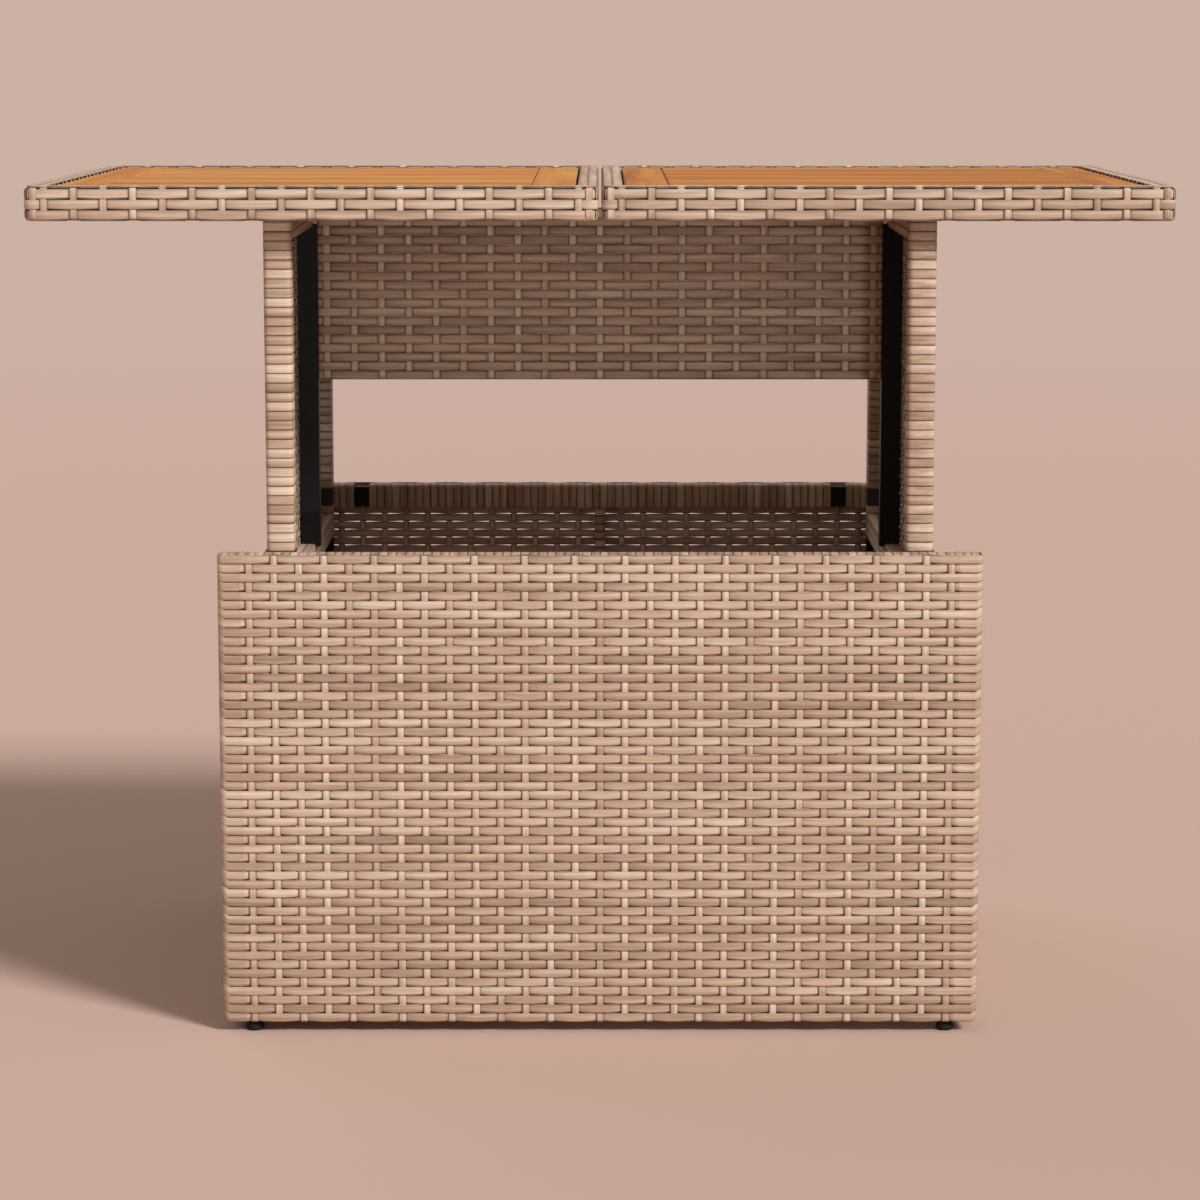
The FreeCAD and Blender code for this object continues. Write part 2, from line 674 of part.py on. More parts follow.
for name in SIDES:
    lift_side(name, [cross_holes, top_holes, shoe_holes])
node(group([collar(*corner) for corner in corners()]), "clamp_collars")
head_rooms = [rod("y", (f"{side} * lift_half", f"{SHOE_TOP} - shoe_height / 2"),
                  *about(way, f"{GROOVE_FLOOR} - shoe_play - screw_head_thick - shoe_lead",
                         f"{GROOVE_FLOOR} + {OVER}"), "screw_head + hole_play") for side, way in corners()]
node(group([shoe(*corner, [shoe_holes, group(head_rooms)]) for corner in corners()]), "guide_shoes")
cross_panel([cross_holes])
for name in SIDES:
    leaf(name, [slat_holes], [top_holes, slat_holes])

doc.recompute()
faults = [thing.Label for thing in doc.Objects if "Invalid" in thing.State or "Error" in thing.State]
faults += [piece.Label for piece in nodes if piece.Shape.isNull() or not piece.Shape.isValid()]
if faults:
    raise RuntimeError("failed pieces: " + ", ".join(faults))
os.makedirs("parts", exist_ok=True)
for piece in nodes:
    piece.Shape.exportStep(f"parts/{piece.Label}.step")
print(f"{len(nodes)} pieces written")
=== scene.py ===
"""Height-adjustable garden table: woven panels, a board top and black steel fittings.

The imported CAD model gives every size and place. This script lays woven strands over the frames,
dresses the boards and the fittings, and sets up a plain studio. Strand sizes are written in
millimetres and become metres where they meet Blender. The front is -Y and up is +Z.
"""

from __future__ import annotations

import logging
import math
from collections.abc import Callable
from dataclasses import dataclass, replace
from enum import Enum
from functools import cached_property, partial

import bpy
from mathutils import Matrix, Vector


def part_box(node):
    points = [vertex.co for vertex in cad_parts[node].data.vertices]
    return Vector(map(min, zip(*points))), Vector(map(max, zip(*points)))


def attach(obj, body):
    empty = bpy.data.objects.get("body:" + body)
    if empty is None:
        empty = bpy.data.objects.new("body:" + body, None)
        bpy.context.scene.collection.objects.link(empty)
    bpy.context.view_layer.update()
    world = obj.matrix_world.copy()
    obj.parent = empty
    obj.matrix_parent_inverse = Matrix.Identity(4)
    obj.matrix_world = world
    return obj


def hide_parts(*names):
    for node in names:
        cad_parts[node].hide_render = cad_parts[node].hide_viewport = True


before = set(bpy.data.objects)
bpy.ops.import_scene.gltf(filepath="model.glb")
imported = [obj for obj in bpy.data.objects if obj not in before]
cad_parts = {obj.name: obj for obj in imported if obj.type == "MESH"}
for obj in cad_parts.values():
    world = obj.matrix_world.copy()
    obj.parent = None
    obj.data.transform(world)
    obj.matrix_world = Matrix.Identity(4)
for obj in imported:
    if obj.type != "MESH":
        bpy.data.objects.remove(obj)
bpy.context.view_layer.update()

MM = 0.001
IMAGE_PIXELS = 1200

MATH = "ShaderNodeMath"
VECTOR_MATH = "ShaderNodeVectorMath"
MAP_RANGE = "ShaderNodeMapRange"
NOISE = "ShaderNodeTexNoise"
COLOUR_RAMP = "ShaderNodeValToRGB"
MIX = "ShaderNodeMix"
JOIN_XYZ = "ShaderNodeCombineXYZ"
SPLIT_XYZ = "ShaderNodeSeparateXYZ"

log = logging.getLogger("garden_table")

Point = tuple[float, float]
Triple = tuple[float, float, float]
Outline = tuple[Point, ...]
Node = bpy.types.Node
Socket = bpy.types.NodeSocket
Sockets = bpy.types.bpy_prop_collection
NodeAdder = Callable[..., Node]


class Facing(Enum):
    """Side of the table that a panel or a rim looks to, as its turn about the upright axis."""

    FRONT = 0.0
    RIGHT = math.pi / 2
    BACK = math.pi
    LEFT = -math.pi / 2


class Grain(Enum):
    """Direction that a board's grain runs in, as the turn of the grain pattern about Z."""

    SIDEWAYS = 0.0
    FRONT_TO_BACK = math.pi / 2


class Finish(Enum):
    """Finish of a CAD piece that is seen as it is."""

    SLAT = "slat"
    END_BOARD = "end board"
    STEEL = "steel"
    BOLT = "bolt"
    ZINC = "zinc"
    NYLON = "nylon"
    RUBBER = "rubber"


def linear(colour: str) -> tuple[float, float, float, float]:
    """Turn a written screen colour into linear light.

    Args:
        colour: The colour as "#rrggbb".

    Returns:
        Linear red, green and blue with full opacity.
    """
    shares = [int(colour[i : i + 2], 16) / 255 for i in (1, 3, 5)]
    light = [s / 12.92 if s <= 0.04045 else ((s + 0.055) / 1.055) ** 2.4 for s in shares]
    return light[0], light[1], light[2], 1.0


def pick(sockets: Sockets, key: str | int | None = None) -> Socket:
    """Find a node's socket among those in use.

    Args:
        sockets: The node's inputs or outputs.
        key: The socket's name, its place, or None for the first in use.

    Returns:
        The socket.
    """
    if isinstance(key, int):
        return sockets[key]
    return next(s for s in sockets if s.enabled and key in (None, s.name))


def feed(node: Node, feeds: dict | tuple) -> None:
    """Set or link a node's inputs.

    Args:
        node: The node.
        feeds: A constant, a node or an output socket for each input, by name or in the inputs' order.
    """
    for key, value in feeds.items() if isinstance(feeds, dict) else enumerate(feeds):
        source = pick(value.outputs) if isinstance(value, Node) else value
        if isinstance(source, Socket):
            node.id_data.links.new(source, pick(node.inputs, key))
        else:
            pick(node.inputs, key).default_value = source


def add_node(tree: bpy.types.NodeTree, kind: str, feeds: dict | tuple = (), **settings: object) -> Node:
    """Add a node with its settings and what feeds it.

    Args:
        tree: The tree that takes the node.
        kind: The node's type name.
        feeds: What feeds its inputs, by name or in the inputs' order.
        settings: Values of the node's own properties.

    Returns:
        The new node.
    """
    node = tree.nodes.new(kind)
    for name, value in settings.items():
        setattr(node, name, value)
    feed(node, feeds)
    return node


def new_material(name: str) -> tuple[bpy.types.Material, NodeAdder, Node]:
    """Start a material.

    Args:
        name: Name of the material.

    Returns:
        The material, a function that adds nodes to it, and its shader.
    """
    made = bpy.data.materials.new(name)
    made.use_nodes = True
    return made, partial(add_node, made.node_tree), made.node_tree.nodes["Principled BSDF"]


def new_object(name: str, data: bpy.types.ID) -> bpy.types.Object:
    """Put a new object into the scene.

    Args:
        name: Name of the object.
        data: Its mesh, curve, light or camera.

    Returns:
        The object.
    """
    made = bpy.data.objects.new(name, data)
    bpy.context.scene.collection.objects.link(made)
    return made


def even(span: float, pitch: float) -> tuple[int, float]:
    """Share a span into equal steps near a wanted pitch.

    Args:
        span: Length to fill.
        pitch: Wanted spacing.

    Returns:
        Number of steps and their true pitch.
    """
    count = max(1, round(span / pitch))
    return count, span / count


def oblong(near: float, far: float, front: float, back: float) -> Outline:
    """Corners of an oblong loop.

    Args:
        near: Lowest place on the first axis.
        far: Highest place on the first axis.
        front: Lowest place on the second axis.
        back: Highest place on the second axis.

    Returns:
        The four corners in order.
    """
    return (near, front), (far, front), (far, back), (near, back)


@dataclass(frozen=True)
class Ply:
    """One set of like strands, in millimetres, in a panel's own frame.

    Each strand follows the same line in the X-Y plane and the strands are stacked along Z. A woven
    strand runs over the strands that it crosses and dips under every other one.

    Attributes:
        lines: Corner points of each strand's line. All corners are square.
        count: Number of strands in the stack.
        pitch: Spacing of the strands in the stack.
        width: Width of a strand.
        thickness: Thickness of a strand.
        closed: Whether the line runs back to its start.
        corner: Radius of the line's corners.
        middle: Place of the middle of the stack on Z.
        crossing: Spacing of the strands that this set is woven with.
        wave: Height of the weaving wave, or 0 for strands that only wrap.
        dip: Half-length of the part that lies under, and distance at which the strand is up again.
        woven: Distance from the middle to which stretches along X are woven.
        side_woven: The same for stretches along Y.
        fade: Length over which the strand settles outside its woven part.
        rest: Height outside the woven part, in waves; neighbouring strands take turns in and out.
        phase: Shift of the weave, in crossings.
        side_phase: Further shift on stretches along Y.
        pinch: Share of its width that a strand loses where it lies under.
        flat: Whether the strand lies flat on the X-Y plane and waves along Z.
        sway: How far a strand wanders from its straight line.
        paleness: How much lighter the strands are than others of the same finish.
        rise: How far a strand climbs towards its ends; the uppermost strands stay level.
        rise_span: Where along X the climb starts and where it is complete.
        upright: Whether the line climbs and the stack runs sideways.
        shift: Place of the ply from the panel's own middle.
    """

    lines: tuple[Outline, ...]
    count: int
    pitch: float
    width: float
    thickness: float = 1.25
    closed: bool = False
    corner: float = 4.0
    middle: float = 0.0
    crossing: float = 20.0
    wave: float = 0.0
    dip: Point = (3.0, 6.0)
    woven: float = 0.0
    side_woven: float = 0.0
    fade: float = 3.0
    rest: float = 0.0
    phase: float = 0.0
    side_phase: float = 0.0
    pinch: float = 0.0
    flat: bool = False
    sway: float = 0.1
    paleness: float = 0.0
    rise: float = 0.0
    rise_span: Point = (0.0, 1.0)
    upright: bool = False
    shift: Triple = (0.0, 0.0, 0.0)

    # steps of a corner's arc, and how near the end of a stretch or of the weave a point may come
    ARC_STEPS = 3
    END_SHARE = 0.01
    END_CLEAR = 0.2

    def points(self, corners: Outline) -> list[Vector]:
        """Round a line's corners and add a point wherever the strand starts or ends a dip.

        Args:
            corners: The line's corner points.

        Returns:
            The points of the strand's centre line.
        """
        rounded = self._rounded([Vector(corner) for corner in corners])
        ends = [*rounded[1:], rounded[0]] if self.closed else rounded[1:]
        line = []
        for here, there in zip(rounded, ends):
            line.append(here)
            axis = 0 if abs(there.x - here.x) > abs(there.y - here.y) else 1
            step = there[axis] - here[axis]
            shares = sorted((mark - here[axis]) / step for mark in self._marks(axis)) if step else []
            inside = [share for share in shares if self.END_SHARE < share < 1 - self.END_SHARE]
            line.extend(here.lerp(there, share) for share in inside)
        return line if self.closed else [*line, rounded[-1]]

    def _rounded(self, corners: list[Vector]) -> list[Vector]:
        """Replace square corners by arcs.

        Args:
            corners: The corner points.

        Returns:
            The rounded line.
        """
        line = []
        for number, corner in enumerate(corners):
            if not self.closed and number in (0, len(corners) - 1):
                line.append(corner)
                continue
            back = (corners[number - 1] - corner).normalized() * self.corner
            ahead = (corners[(number + 1) % len(corners)] - corner).normalized() * self.corner
            for step in range(self.ARC_STEPS + 1):
                turn = math.pi / 2 * step / self.ARC_STEPS
                line.append(corner + back * (1 - math.sin(turn)) + ahead * (1 - math.cos(turn)))
        return line

    def _marks(self, axis: int) -> list[float]:
        """Places along X or Y where a dip starts or ends.

        Args:
            axis: 0 for stretches along X, 1 for stretches along Y.

        Returns:
            The places, in order and without repeats.
        """
        limit = (self.woven, self.side_woven)[axis]
        if not (self.wave and limit):
            return []
        shift = self.phase + self.side_phase * axis
        first, last = (math.floor(side * limit / self.crossing + shift) for side in (-1, 1))
        spots = [(number - shift) * self.crossing for number in range(first, last + 2)]
        offsets = [side * reach for reach in self.dip for side in (-1, 1)]
        marks = {round(spot + offset, 3) for spot in spots for offset in offsets}
        ends = {side * (limit + past) for side in (-1, 1) for past in (0.0, self.fade)}
        if self.rise and axis == 0:
            ends |= {-self.rise_span[0], self.rise_span[0]}
        return sorted(ends | {mark for mark in marks if abs(mark) < limit - self.END_CLEAR})

    def turning(self, reach: float) -> float:
        """Cosine of the weave's phase at a distance from the strand that lies over."""
        return -math.cos(math.pi * reach / self.crossing)


PlacedPly = tuple[Ply, Triple, Facing]


class StrandLoom:
    """Lays strands along lines with one Geometry Nodes tree, one modifier for each ply."""

    # inputs that are a ply's own lengths and numbers, and those worked out from it
    LENGTHS = ("Pitch", "Width", "Thickness", "Crossing", "Wave", "Woven", "Side woven", "Fade", "Rise")
    NUMBERS = ("Rest", "Phase", "Side phase", "Paleness")
    WORKED_OUT = ("Start", "Sway", "Pinch", "Under from", "Over from", "Rise from", "Rise to")
    SOCKETS = {
        "Object": ("Path",),
        "Int": ("Count", "Seed"),
        "Bool": ("Flat",),
        "Vector": ("Place", "Turn"),
        "Material": ("Finish",),
        "Float": LENGTHS + NUMBERS + WORKED_OUT,
    }
    # corner radius of a section in half sizes, strands' bends to a metre, rows over which the climb fades
    EDGE_EASE = 0.25
    WANDER_SCALE = 16.0
    LEVEL_ROWS = 6
    SEED_STEP = 17

    def __init__(self, finish: bpy.types.Material) -> None:
        """Build the tree once.

        Args:
            finish: The material of all strands.
        """
        self.finish = finish
        self.tree = bpy.data.node_groups.new("woven_strands", "GeometryNodeTree")
        sides = self.tree.interface
        sides.new_socket(name="Geometry", in_out="INPUT", socket_type="NodeSocketGeometry")
        for kind, names in self.SOCKETS.items():
            for name in names:
                sides.new_socket(name=name, in_out="INPUT", socket_type=f"NodeSocket{kind}")
        sides.new_socket(name="Geometry", in_out="OUTPUT", socket_type="NodeSocketGeometry")
        self.add = partial(add_node, self.tree)
        self.given = self.add("NodeGroupInput").outputs
        self.half_width, self.half_thickness = (
            self.add(MATH, (self.given[name], 0.5), operation="MULTIPLY") for name in ("Width", "Thickness")
        )
        self._end(self._swept(self._woven(self._stacked())))

    def _keep(
        self, name: str, curves: Node, value: Node | Socket, kind: str = "FLOAT", domain: str = "POINT"
    ) -> Node:
        """Keep a value on the strands under a name.

        Args:
            name: The value's name.
            curves: The node that holds the strands.
            value: What gives the value.
            kind: The value's type.
            domain: What the value belongs to.

        Returns:
            The node that holds the strands with the value.
        """
        feeds = {"Geometry": curves, "Name": name, "Value": value}
        return self.add("GeometryNodeStoreNamedAttribute", feeds, data_type=kind, domain=domain)

    def _stacked(self) -> Node:
        """Stack copies of the path along Z.

        Returns:
            The node that holds the stacked curves, numbered by row and lane.
        """
        add, given = self.add, self.given
        path = add("GeometryNodeObjectInfo", {"Object": given["Path"]}, transform_space="ORIGINAL")
        index = add("GeometryNodeInputIndex")
        lanes = self._keep("lane", path.outputs["Geometry"], index, "INT", "CURVE")
        start, offset = (add(JOIN_XYZ, {"Z": given[name]}) for name in ("Start", "Pitch"))
        line = {"Count": given["Count"], "Start Location": start, "Offset": offset}
        rows = self._keep("row", add("GeometryNodeMeshLine", line, mode="OFFSET"), index, "INT")
        copies = add("GeometryNodeInstanceOnPoints", {"Points": rows, "Instance": lanes})
        return add("GeometryNodeRealizeInstances", {"Geometry": copies})

    def _course(self, where: Sockets, row: Node) -> tuple[Node, Node, Node, Node]:
        """Follow the strands past the ones that they cross.

        Args:
            where: A point's place by axis.
            row: The strand's row.

        Returns:
            Distance from the middle, where the woven part ends, cosine of the phase, and height at rest.
        """
        add, given = self.add, self.given
        heading = add(SPLIT_XYZ, (add("GeometryNodeInputTangent"),)).outputs
        along_x, along_y = (add(MATH, (heading[axis],), operation="ABSOLUTE") for axis in "XY")
        is_side = add(MATH, (along_y, along_x), operation="GREATER_THAN")
        run, limit = (
            add("GeometryNodeSwitch", {"Switch": is_side, "False": x, "True": y}, input_type="FLOAT")
            for x, y in ((where["X"], where["Y"]), (given["Woven"], given["Side woven"]))
        )
        lane = add("GeometryNodeInputNamedAttribute", {"Name": "lane"}, data_type="INT")
        number = add(MATH, (row, lane), operation="ADD")
        phase = add(MATH, (run, given["Crossing"]), operation="DIVIDE")
        for part in (number, given["Phase"]):
            phase = add(MATH, (phase, part), operation="ADD")
        phase = add(MATH, (is_side, given["Side phase"], phase), operation="MULTIPLY_ADD")
        turning, side = (
            add(MATH, (add(MATH, (part, math.pi), operation="MULTIPLY"),), operation="COSINE")
            for part in (phase, number)
        )
        rest = add(MATH, (side, given["Rest"]), operation="MULTIPLY")
        return add(MATH, (run,), operation="ABSOLUTE"), limit, turning, rest

    def _climb(self, spot: Node, where: Sockets, row: Node) -> Node:
        """Let strands wander, and let their ends climb round the posts, all but the uppermost ones.

        Args:
            spot: A point's place.
            where: The same by axis.
            row: The strand's row.

        Returns:
            The node that gives the height gained.
        """
        add, given = self.add, self.given
        strand = add("GeometryNodeCurveOfPoint").outputs["Curve Index"]
        drift = {"Vector": spot, "W": strand, "Scale": self.WANDER_SCALE, "Detail": 0.0}
        centred = add(MATH, (add(NOISE, drift, noise_dimensions="4D"), 0.5), operation="SUBTRACT")
        sway = add(MATH, (centred, given["Sway"]), operation="MULTIPLY")
        end = add(MATH, (where["X"],), operation="ABSOLUTE")
        span = (end, given["Rise from"], given["Rise to"], 0.0, given["Rise"])
        climb = add(MAP_RANGE, span, interpolation_type="SMOOTHSTEP")
        top = add(MATH, (given["Count"], 1.0), operation="SUBTRACT")
        below = add(MATH, (top, row), operation="SUBTRACT")
        share = add(MAP_RANGE, (below, 0.0, float(self.LEVEL_ROWS), 0.0, 1.0))
        return add(MATH, (climb, share, sway), operation="MULTIPLY_ADD")

    def _woven(self, strands: Node) -> Node:
        """Move the strands over and under the ones that they cross.

        Args:
            strands: The node that holds the stacked curves.

        Returns:
            The node that holds the woven curves.
        """
        add, given = self.add, self.given
        level = add("GeometryNodeSetCurveNormal", {"Curve": strands}, mode="Z_UP")
        spot = add("GeometryNodeInputPosition")
        where = add(SPLIT_XYZ, (spot,)).outputs
        row = add("GeometryNodeInputNamedAttribute", {"Name": "row"}, data_type="INT")
        from_middle, limit, turning, rest = self._course(where, row)
        past = add(MATH, (limit, given["Fade"]), operation="ADD")
        swing = add(MAP_RANGE, (turning, given["Over from"], given["Under from"], 1.0, -1.0))
        height = add(MAP_RANGE, (from_middle, limit, past, swing, rest), interpolation_type="SMOOTHSTEP")
        rise = add(MATH, (height, given["Wave"]), operation="MULTIPLY")
        ways = {"Switch": given["Flat"], "False": add("GeometryNodeInputNormal"), "True": (0.0, 0.0, 1.0)}
        outward = add("GeometryNodeSwitch", ways, input_type="VECTOR")
        wave = add(VECTOR_MATH, {"Vector": outward, "Scale": rise}, operation="SCALE")
        # a strand is narrowest where it lies under, and its upper edge stays straight
        under = add(MAP_RANGE, (turning, 1.0, -1.0, 0.0, 1.0))
        under = add(MAP_RANGE, (from_middle, limit, past, under, 0.0))
        waist = add(MATH, (under, given["Pinch"]), operation="MULTIPLY")
        climb = self._climb(spot, where, row)
        lift = add(MATH, (waist, self.half_width, climb), operation="MULTIPLY_ADD")
        moved = add(VECTOR_MATH, (wave, add(JOIN_XYZ, {"Z": lift})), operation="ADD")
        # both values are kept before the points move, because they read the points' places
        shaded = self._keep("under", level, under)
        width = add(MATH, (1.0, waist), operation="SUBTRACT")
        pinched = add("GeometryNodeSetCurveRadius", {"Curve": shaded, "Radius": width})
        return add("GeometryNodeSetPosition", {"Geometry": pinched, "Offset": moved})

    def _section(self) -> Node:
        """Make a strand's section: a square with eased corners, drawn out to a flat strand with crisp edges.

        Returns:
            The node that holds the section.
        """
        add, given = self.add, self.given
        square = add("GeometryNodeCurvePrimitiveQuadrilateral", {"Width": 2.0, "Height": 2.0})
        ease = {"Curve": square, "Count": 1, "Radius": self.EDGE_EASE}
        eased = add("GeometryNodeFilletCurve", ease, mode="POLY")
        place = add(SPLIT_XYZ, (add("GeometryNodeInputPosition"),)).outputs
        marked = self._keep("across", eased, place["Y"])
        # the outer face looks the way that the strand waves, and a flat strand lies turned over
        outer = add(MATH, (given["Flat"], -2.0, 1.0), operation="MULTIPLY_ADD")
        way = add(MATH, (given["Wave"],), operation="SIGN")
        for part in (way, place["X"]):
            outer = add(MATH, (outer, part), operation="MULTIPLY")
        marked = self._keep("outer", marked, outer)
        size = add(JOIN_XYZ, (self.half_thickness, self.half_width, 1.0))
        roll = add(MATH, (given["Flat"], math.pi / 2), operation="MULTIPLY")
        rolled = add("FunctionNodeEulerToRotation", (add(JOIN_XYZ, {"Z": roll}),))
        return add("GeometryNodeTransform", {"Geometry": marked, "Rotation": rolled, "Scale": size})

    def _swept(self, woven: Node) -> Node:
        """Give the strands their section and the values that their finish reads.

        Args:
            woven: The node that holds the woven curves.

        Returns:
            The node that holds the strands as a smooth mesh.
        """
        add, given = self.add, self.given
        strand = add("GeometryNodeCurveOfPoint").outputs["Curve Index"]
        draw = {"Min": 0.0, "Max": 1.0, "ID": strand, "Seed": given["Seed"]}
        tone = add("FunctionNodeRandomValue", draw, data_type="FLOAT")
        toned = self._keep("tone", woven, add(MATH, (tone, given["Paleness"]), operation="ADD"))
        measured = self._keep("along", toned, add("GeometryNodeSplineParameter").outputs["Length"])
        sweep = {"Curve": measured, "Profile Curve": self._section(), "Fill Caps": True}
        return add("GeometryNodeSetShadeSmooth", {"Geometry": add("GeometryNodeCurveToMesh", sweep)})

    def _end(self, body: Node) -> None:
        """Put the strands in place, add them to the plies before, and end the tree.

        Args:
            body: The node that holds the strands as a mesh.
        """
        add, given = self.add, self.given
        turned = add("FunctionNodeEulerToRotation", (given["Turn"],))
        spot = {"Geometry": body, "Translation": given["Place"], "Rotation": turned}
        joined = add("GeometryNodeJoinGeometry", {"Geometry": add("GeometryNodeTransform", spot)})
        feed(joined, {"Geometry": given["Geometry"]})
        whole = add("GeometryNodeRealizeInstances", {"Geometry": joined})
        dressed = add("GeometryNodeSetMaterial", {"Geometry": whole, "Material": given["Finish"]})
        add("NodeGroupOutput", {"Geometry": dressed})

    def weave(self, name: str, plies: list[PlacedPly]) -> bpy.types.Object:
        """Lay all plies of one piece and keep the result as a plain mesh.

        Args:
            name: Name of the piece.
            plies: Each ply with its panel's place in metres and the side that it faces.

        Returns:
            The finished object at the origin.
        """
        sockets = {s.name: s.identifier for s in self.tree.interface.items_tree if s.in_out == "INPUT"}
        piece = new_object(name, bpy.data.meshes.new(name))
        paths = []
        for number, (ply, place, facing) in enumerate(plies):
            paths.append(self._path(f"{name}_path_{number}", ply))
            modifier = piece.modifiers.new(f"Ply {number}", "NODES")
            modifier.node_group = self.tree
            seed = self.SEED_STEP * number + len(name)
            values = self._values(ply, place, facing)
            values |= {"Path": paths[-1], "Seed": seed, "Finish": self.finish}
            for socket, value in values.items():
                modifier[sockets[socket]] = value
        graph = bpy.context.evaluated_depsgraph_get()
        mesh = bpy.data.meshes.new_from_object(
            piece.evaluated_get(graph), preserve_all_data_layers=True, depsgraph=graph
        )
        piece.modifiers.clear()
        piece.data = mesh
        for path in paths:
            bpy.data.objects.remove(path)
        return piece

    def _values(self, ply: Ply, place: Triple, facing: Facing) -> dict[str, object]:
        """Turn a ply's sizes into the tree's inputs.

        Args:
            ply: The ply.
            place: Place of its panel in metres.
            facing: Side that the panel faces.

        Returns:
            Values by input name, in metres.
        """
        shift = Matrix.Rotation(facing.value, 3, "Z") @ Vector(ply.shift) * MM
        own = {
            name: getattr(ply, name.lower().replace(" ", "_")) * unit
            for names, unit in ((self.LENGTHS, MM), (self.NUMBERS, 1.0))
            for name in names
        }
        return own | {
            "Count": ply.count,
            "Start": (ply.middle - ply.pitch * (ply.count - 1) / 2) * MM,
            "Under from": ply.turning(ply.dip[0]),
            "Over from": ply.turning(ply.dip[1]),
            "Pinch": ply.pinch if ply.wave else 0.0,
            "Flat": ply.flat,
            "Sway": 2 * ply.sway * MM,
            "Rise from": ply.rise_span[0] * MM,
            "Rise to": ply.rise_span[1] * MM,
            "Place": tuple(Vector(place) + shift),
            "Turn": (0.0, -math.pi / 2 if ply.upright else 0.0, facing.value),
        }

    @staticmethod
    def _path(name: str, ply: Ply) -> bpy.types.Object:
        """Make the curve that a ply's strands follow.

        Args:
            name: Name of the curve.
            ply: The ply with its lines.

        Returns:
            The curve object.
        """
        curve = bpy.data.curves.new(name, "CURVE")
        curve.dimensions = "3D"
        for corners in ply.lines:
            points = ply.points(corners)
            spline = curve.splines.new("POLY")
            spline.points.add(len(points) - 1)
            for target, point in zip(spline.points, points):
                target.co = (point.x * MM, point.y * MM, 0.0, 1.0)
            spline.use_cyclic_u = ply.closed
        return new_object(name, curve)


@dataclass(frozen=True)
class Rattan:
    """Extruded plastic rattan: flat greyish-tan strands, each a little lighter or darker, finely ribbed."""

    name: str = "plastic_rattan"
    dark: str = "#9a7e67"
    middle: str = "#bea088"
    light: str = "#dac4ad"
    stops: Point = (0.2, 0.8)
    # how far strands differ from each other, as a share of the colours' range
    tone_share: float = 0.34
    streak_mm: float = 150.0
    streaks_across: float = 0.7
    rib_mm: float = 34.0
    # real ribs are finer: these are coarse enough to show
    ribs_across: float = 3.4
    rib_range: Point = (0.3, 0.7)
    rib_shade: Point = (0.84, 1.08)
    relief: float = 0.4
    relief_mm: float = 0.2
    # height of a strand's crown, in ribs
    crown: float = 3.0
    # painted shade at a strand's edges: from here outwards, as a share of half a strand, the edges darken, to
    # the first shade where the strand lies over and to the second where it lies under
    edge_from: float = 0.4
    painted_edge_shade: float = 0.78
    painted_dip_shade: float = 0.4
    # painted shadow: how far under a strand lies where the painted shadow starts on its outer face and where
    # that shadow is darkest
    painted_contact_range: Point = (0.88, 0.95)
    painted_contact_shade: float = 0.56
    rough: float = 0.5

    LOTS = 61.0

    def build(self) -> bpy.types.Material:
        """Make the material from the values that the loom keeps on the strands.

        Returns:
            The material.
        """
        made, add, shader = new_material(self.name)
        tone, along, across, under, outer = (
            add("ShaderNodeAttribute", attribute_name=name).outputs["Fac"]
            for name in ("tone", "along", "across", "under", "outer")
        )
        # every strand takes another part of the patterns, which are drawn out along it
        lot = add(MATH, (tone, self.LOTS), operation="MULTIPLY")
        patterns = []
        for length, number in ((self.streak_mm, self.streaks_across), (self.rib_mm, self.ribs_across)):
            far = add(MATH, (along, length * MM), operation="DIVIDE")
            fine = add(MATH, (across, number), operation="MULTIPLY")
            cells = add(JOIN_XYZ, (far, fine, lot))
            patterns.append(add(NOISE, {"Vector": cells, "Scale": 1.0, "Detail": 2.0}))
        streaks, ribs = patterns
        level = add(MATH, (tone, self.tone_share, -self.tone_share / 2), operation="MULTIPLY_ADD")
        tint = add(COLOUR_RAMP, (add(MATH, (level, streaks), operation="ADD"),))
        ramp = tint.color_ramp.elements
        ramp[0].position, ramp[0].color = self.stops[0], linear(self.dark)
        ramp[1].position, ramp[1].color = self.stops[1], linear(self.light)
        ramp.new(0.5).color = linear(self.middle)
        shade = add(MAP_RANGE, (ribs, *self.rib_range, *self.rib_shade))
        # painted shade: the edges of a strand are darkened, most of all where it lies under, as the weave's
        # crevices would fall in shade
        aside = add(MATH, (across,), operation="ABSOLUTE")
        darkest = add(MAP_RANGE, (under, 0.0, 1.0, self.painted_edge_shade, self.painted_dip_shade))
        rim = (aside, self.edge_from, 1.0, 1.0, darkest)
        edge = add(MAP_RANGE, rim, interpolation_type="SMOOTHSTEP")
        # painted shadow: the outer face is darkened right beside the strands that hold it down, where they
        # would cast shadow on it
        deepest = add(MAP_RANGE, (outer, 0.0, 0.5, 1.0, self.painted_contact_shade))
        held = (under, *self.painted_contact_range, 1.0, deepest)
        contact = add(MAP_RANGE, held, interpolation_type="SMOOTHSTEP")
        for part in (edge, contact):
            shade = add(MATH, (shade, part), operation="MULTIPLY")
        layers = {"Factor": 1.0, "A": tint, "B": shade}
        colour = add(MIX, layers, data_type="RGBA", blend_type="MULTIPLY")
        # a strand is slightly crowned, so that light rolls off towards its lower edge
        round_off = add(MATH, (across, across), operation="MULTIPLY")
        height = add(MATH, (round_off, -self.crown, ribs), operation="MULTIPLY_ADD")
        bump = {"Strength": self.relief, "Distance": self.relief_mm * MM, "Height": height}
        relief = add("ShaderNodeBump", bump)
        feed(shader, {"Base Color": colour, "Normal": relief, "Roughness": self.rough})
        return made


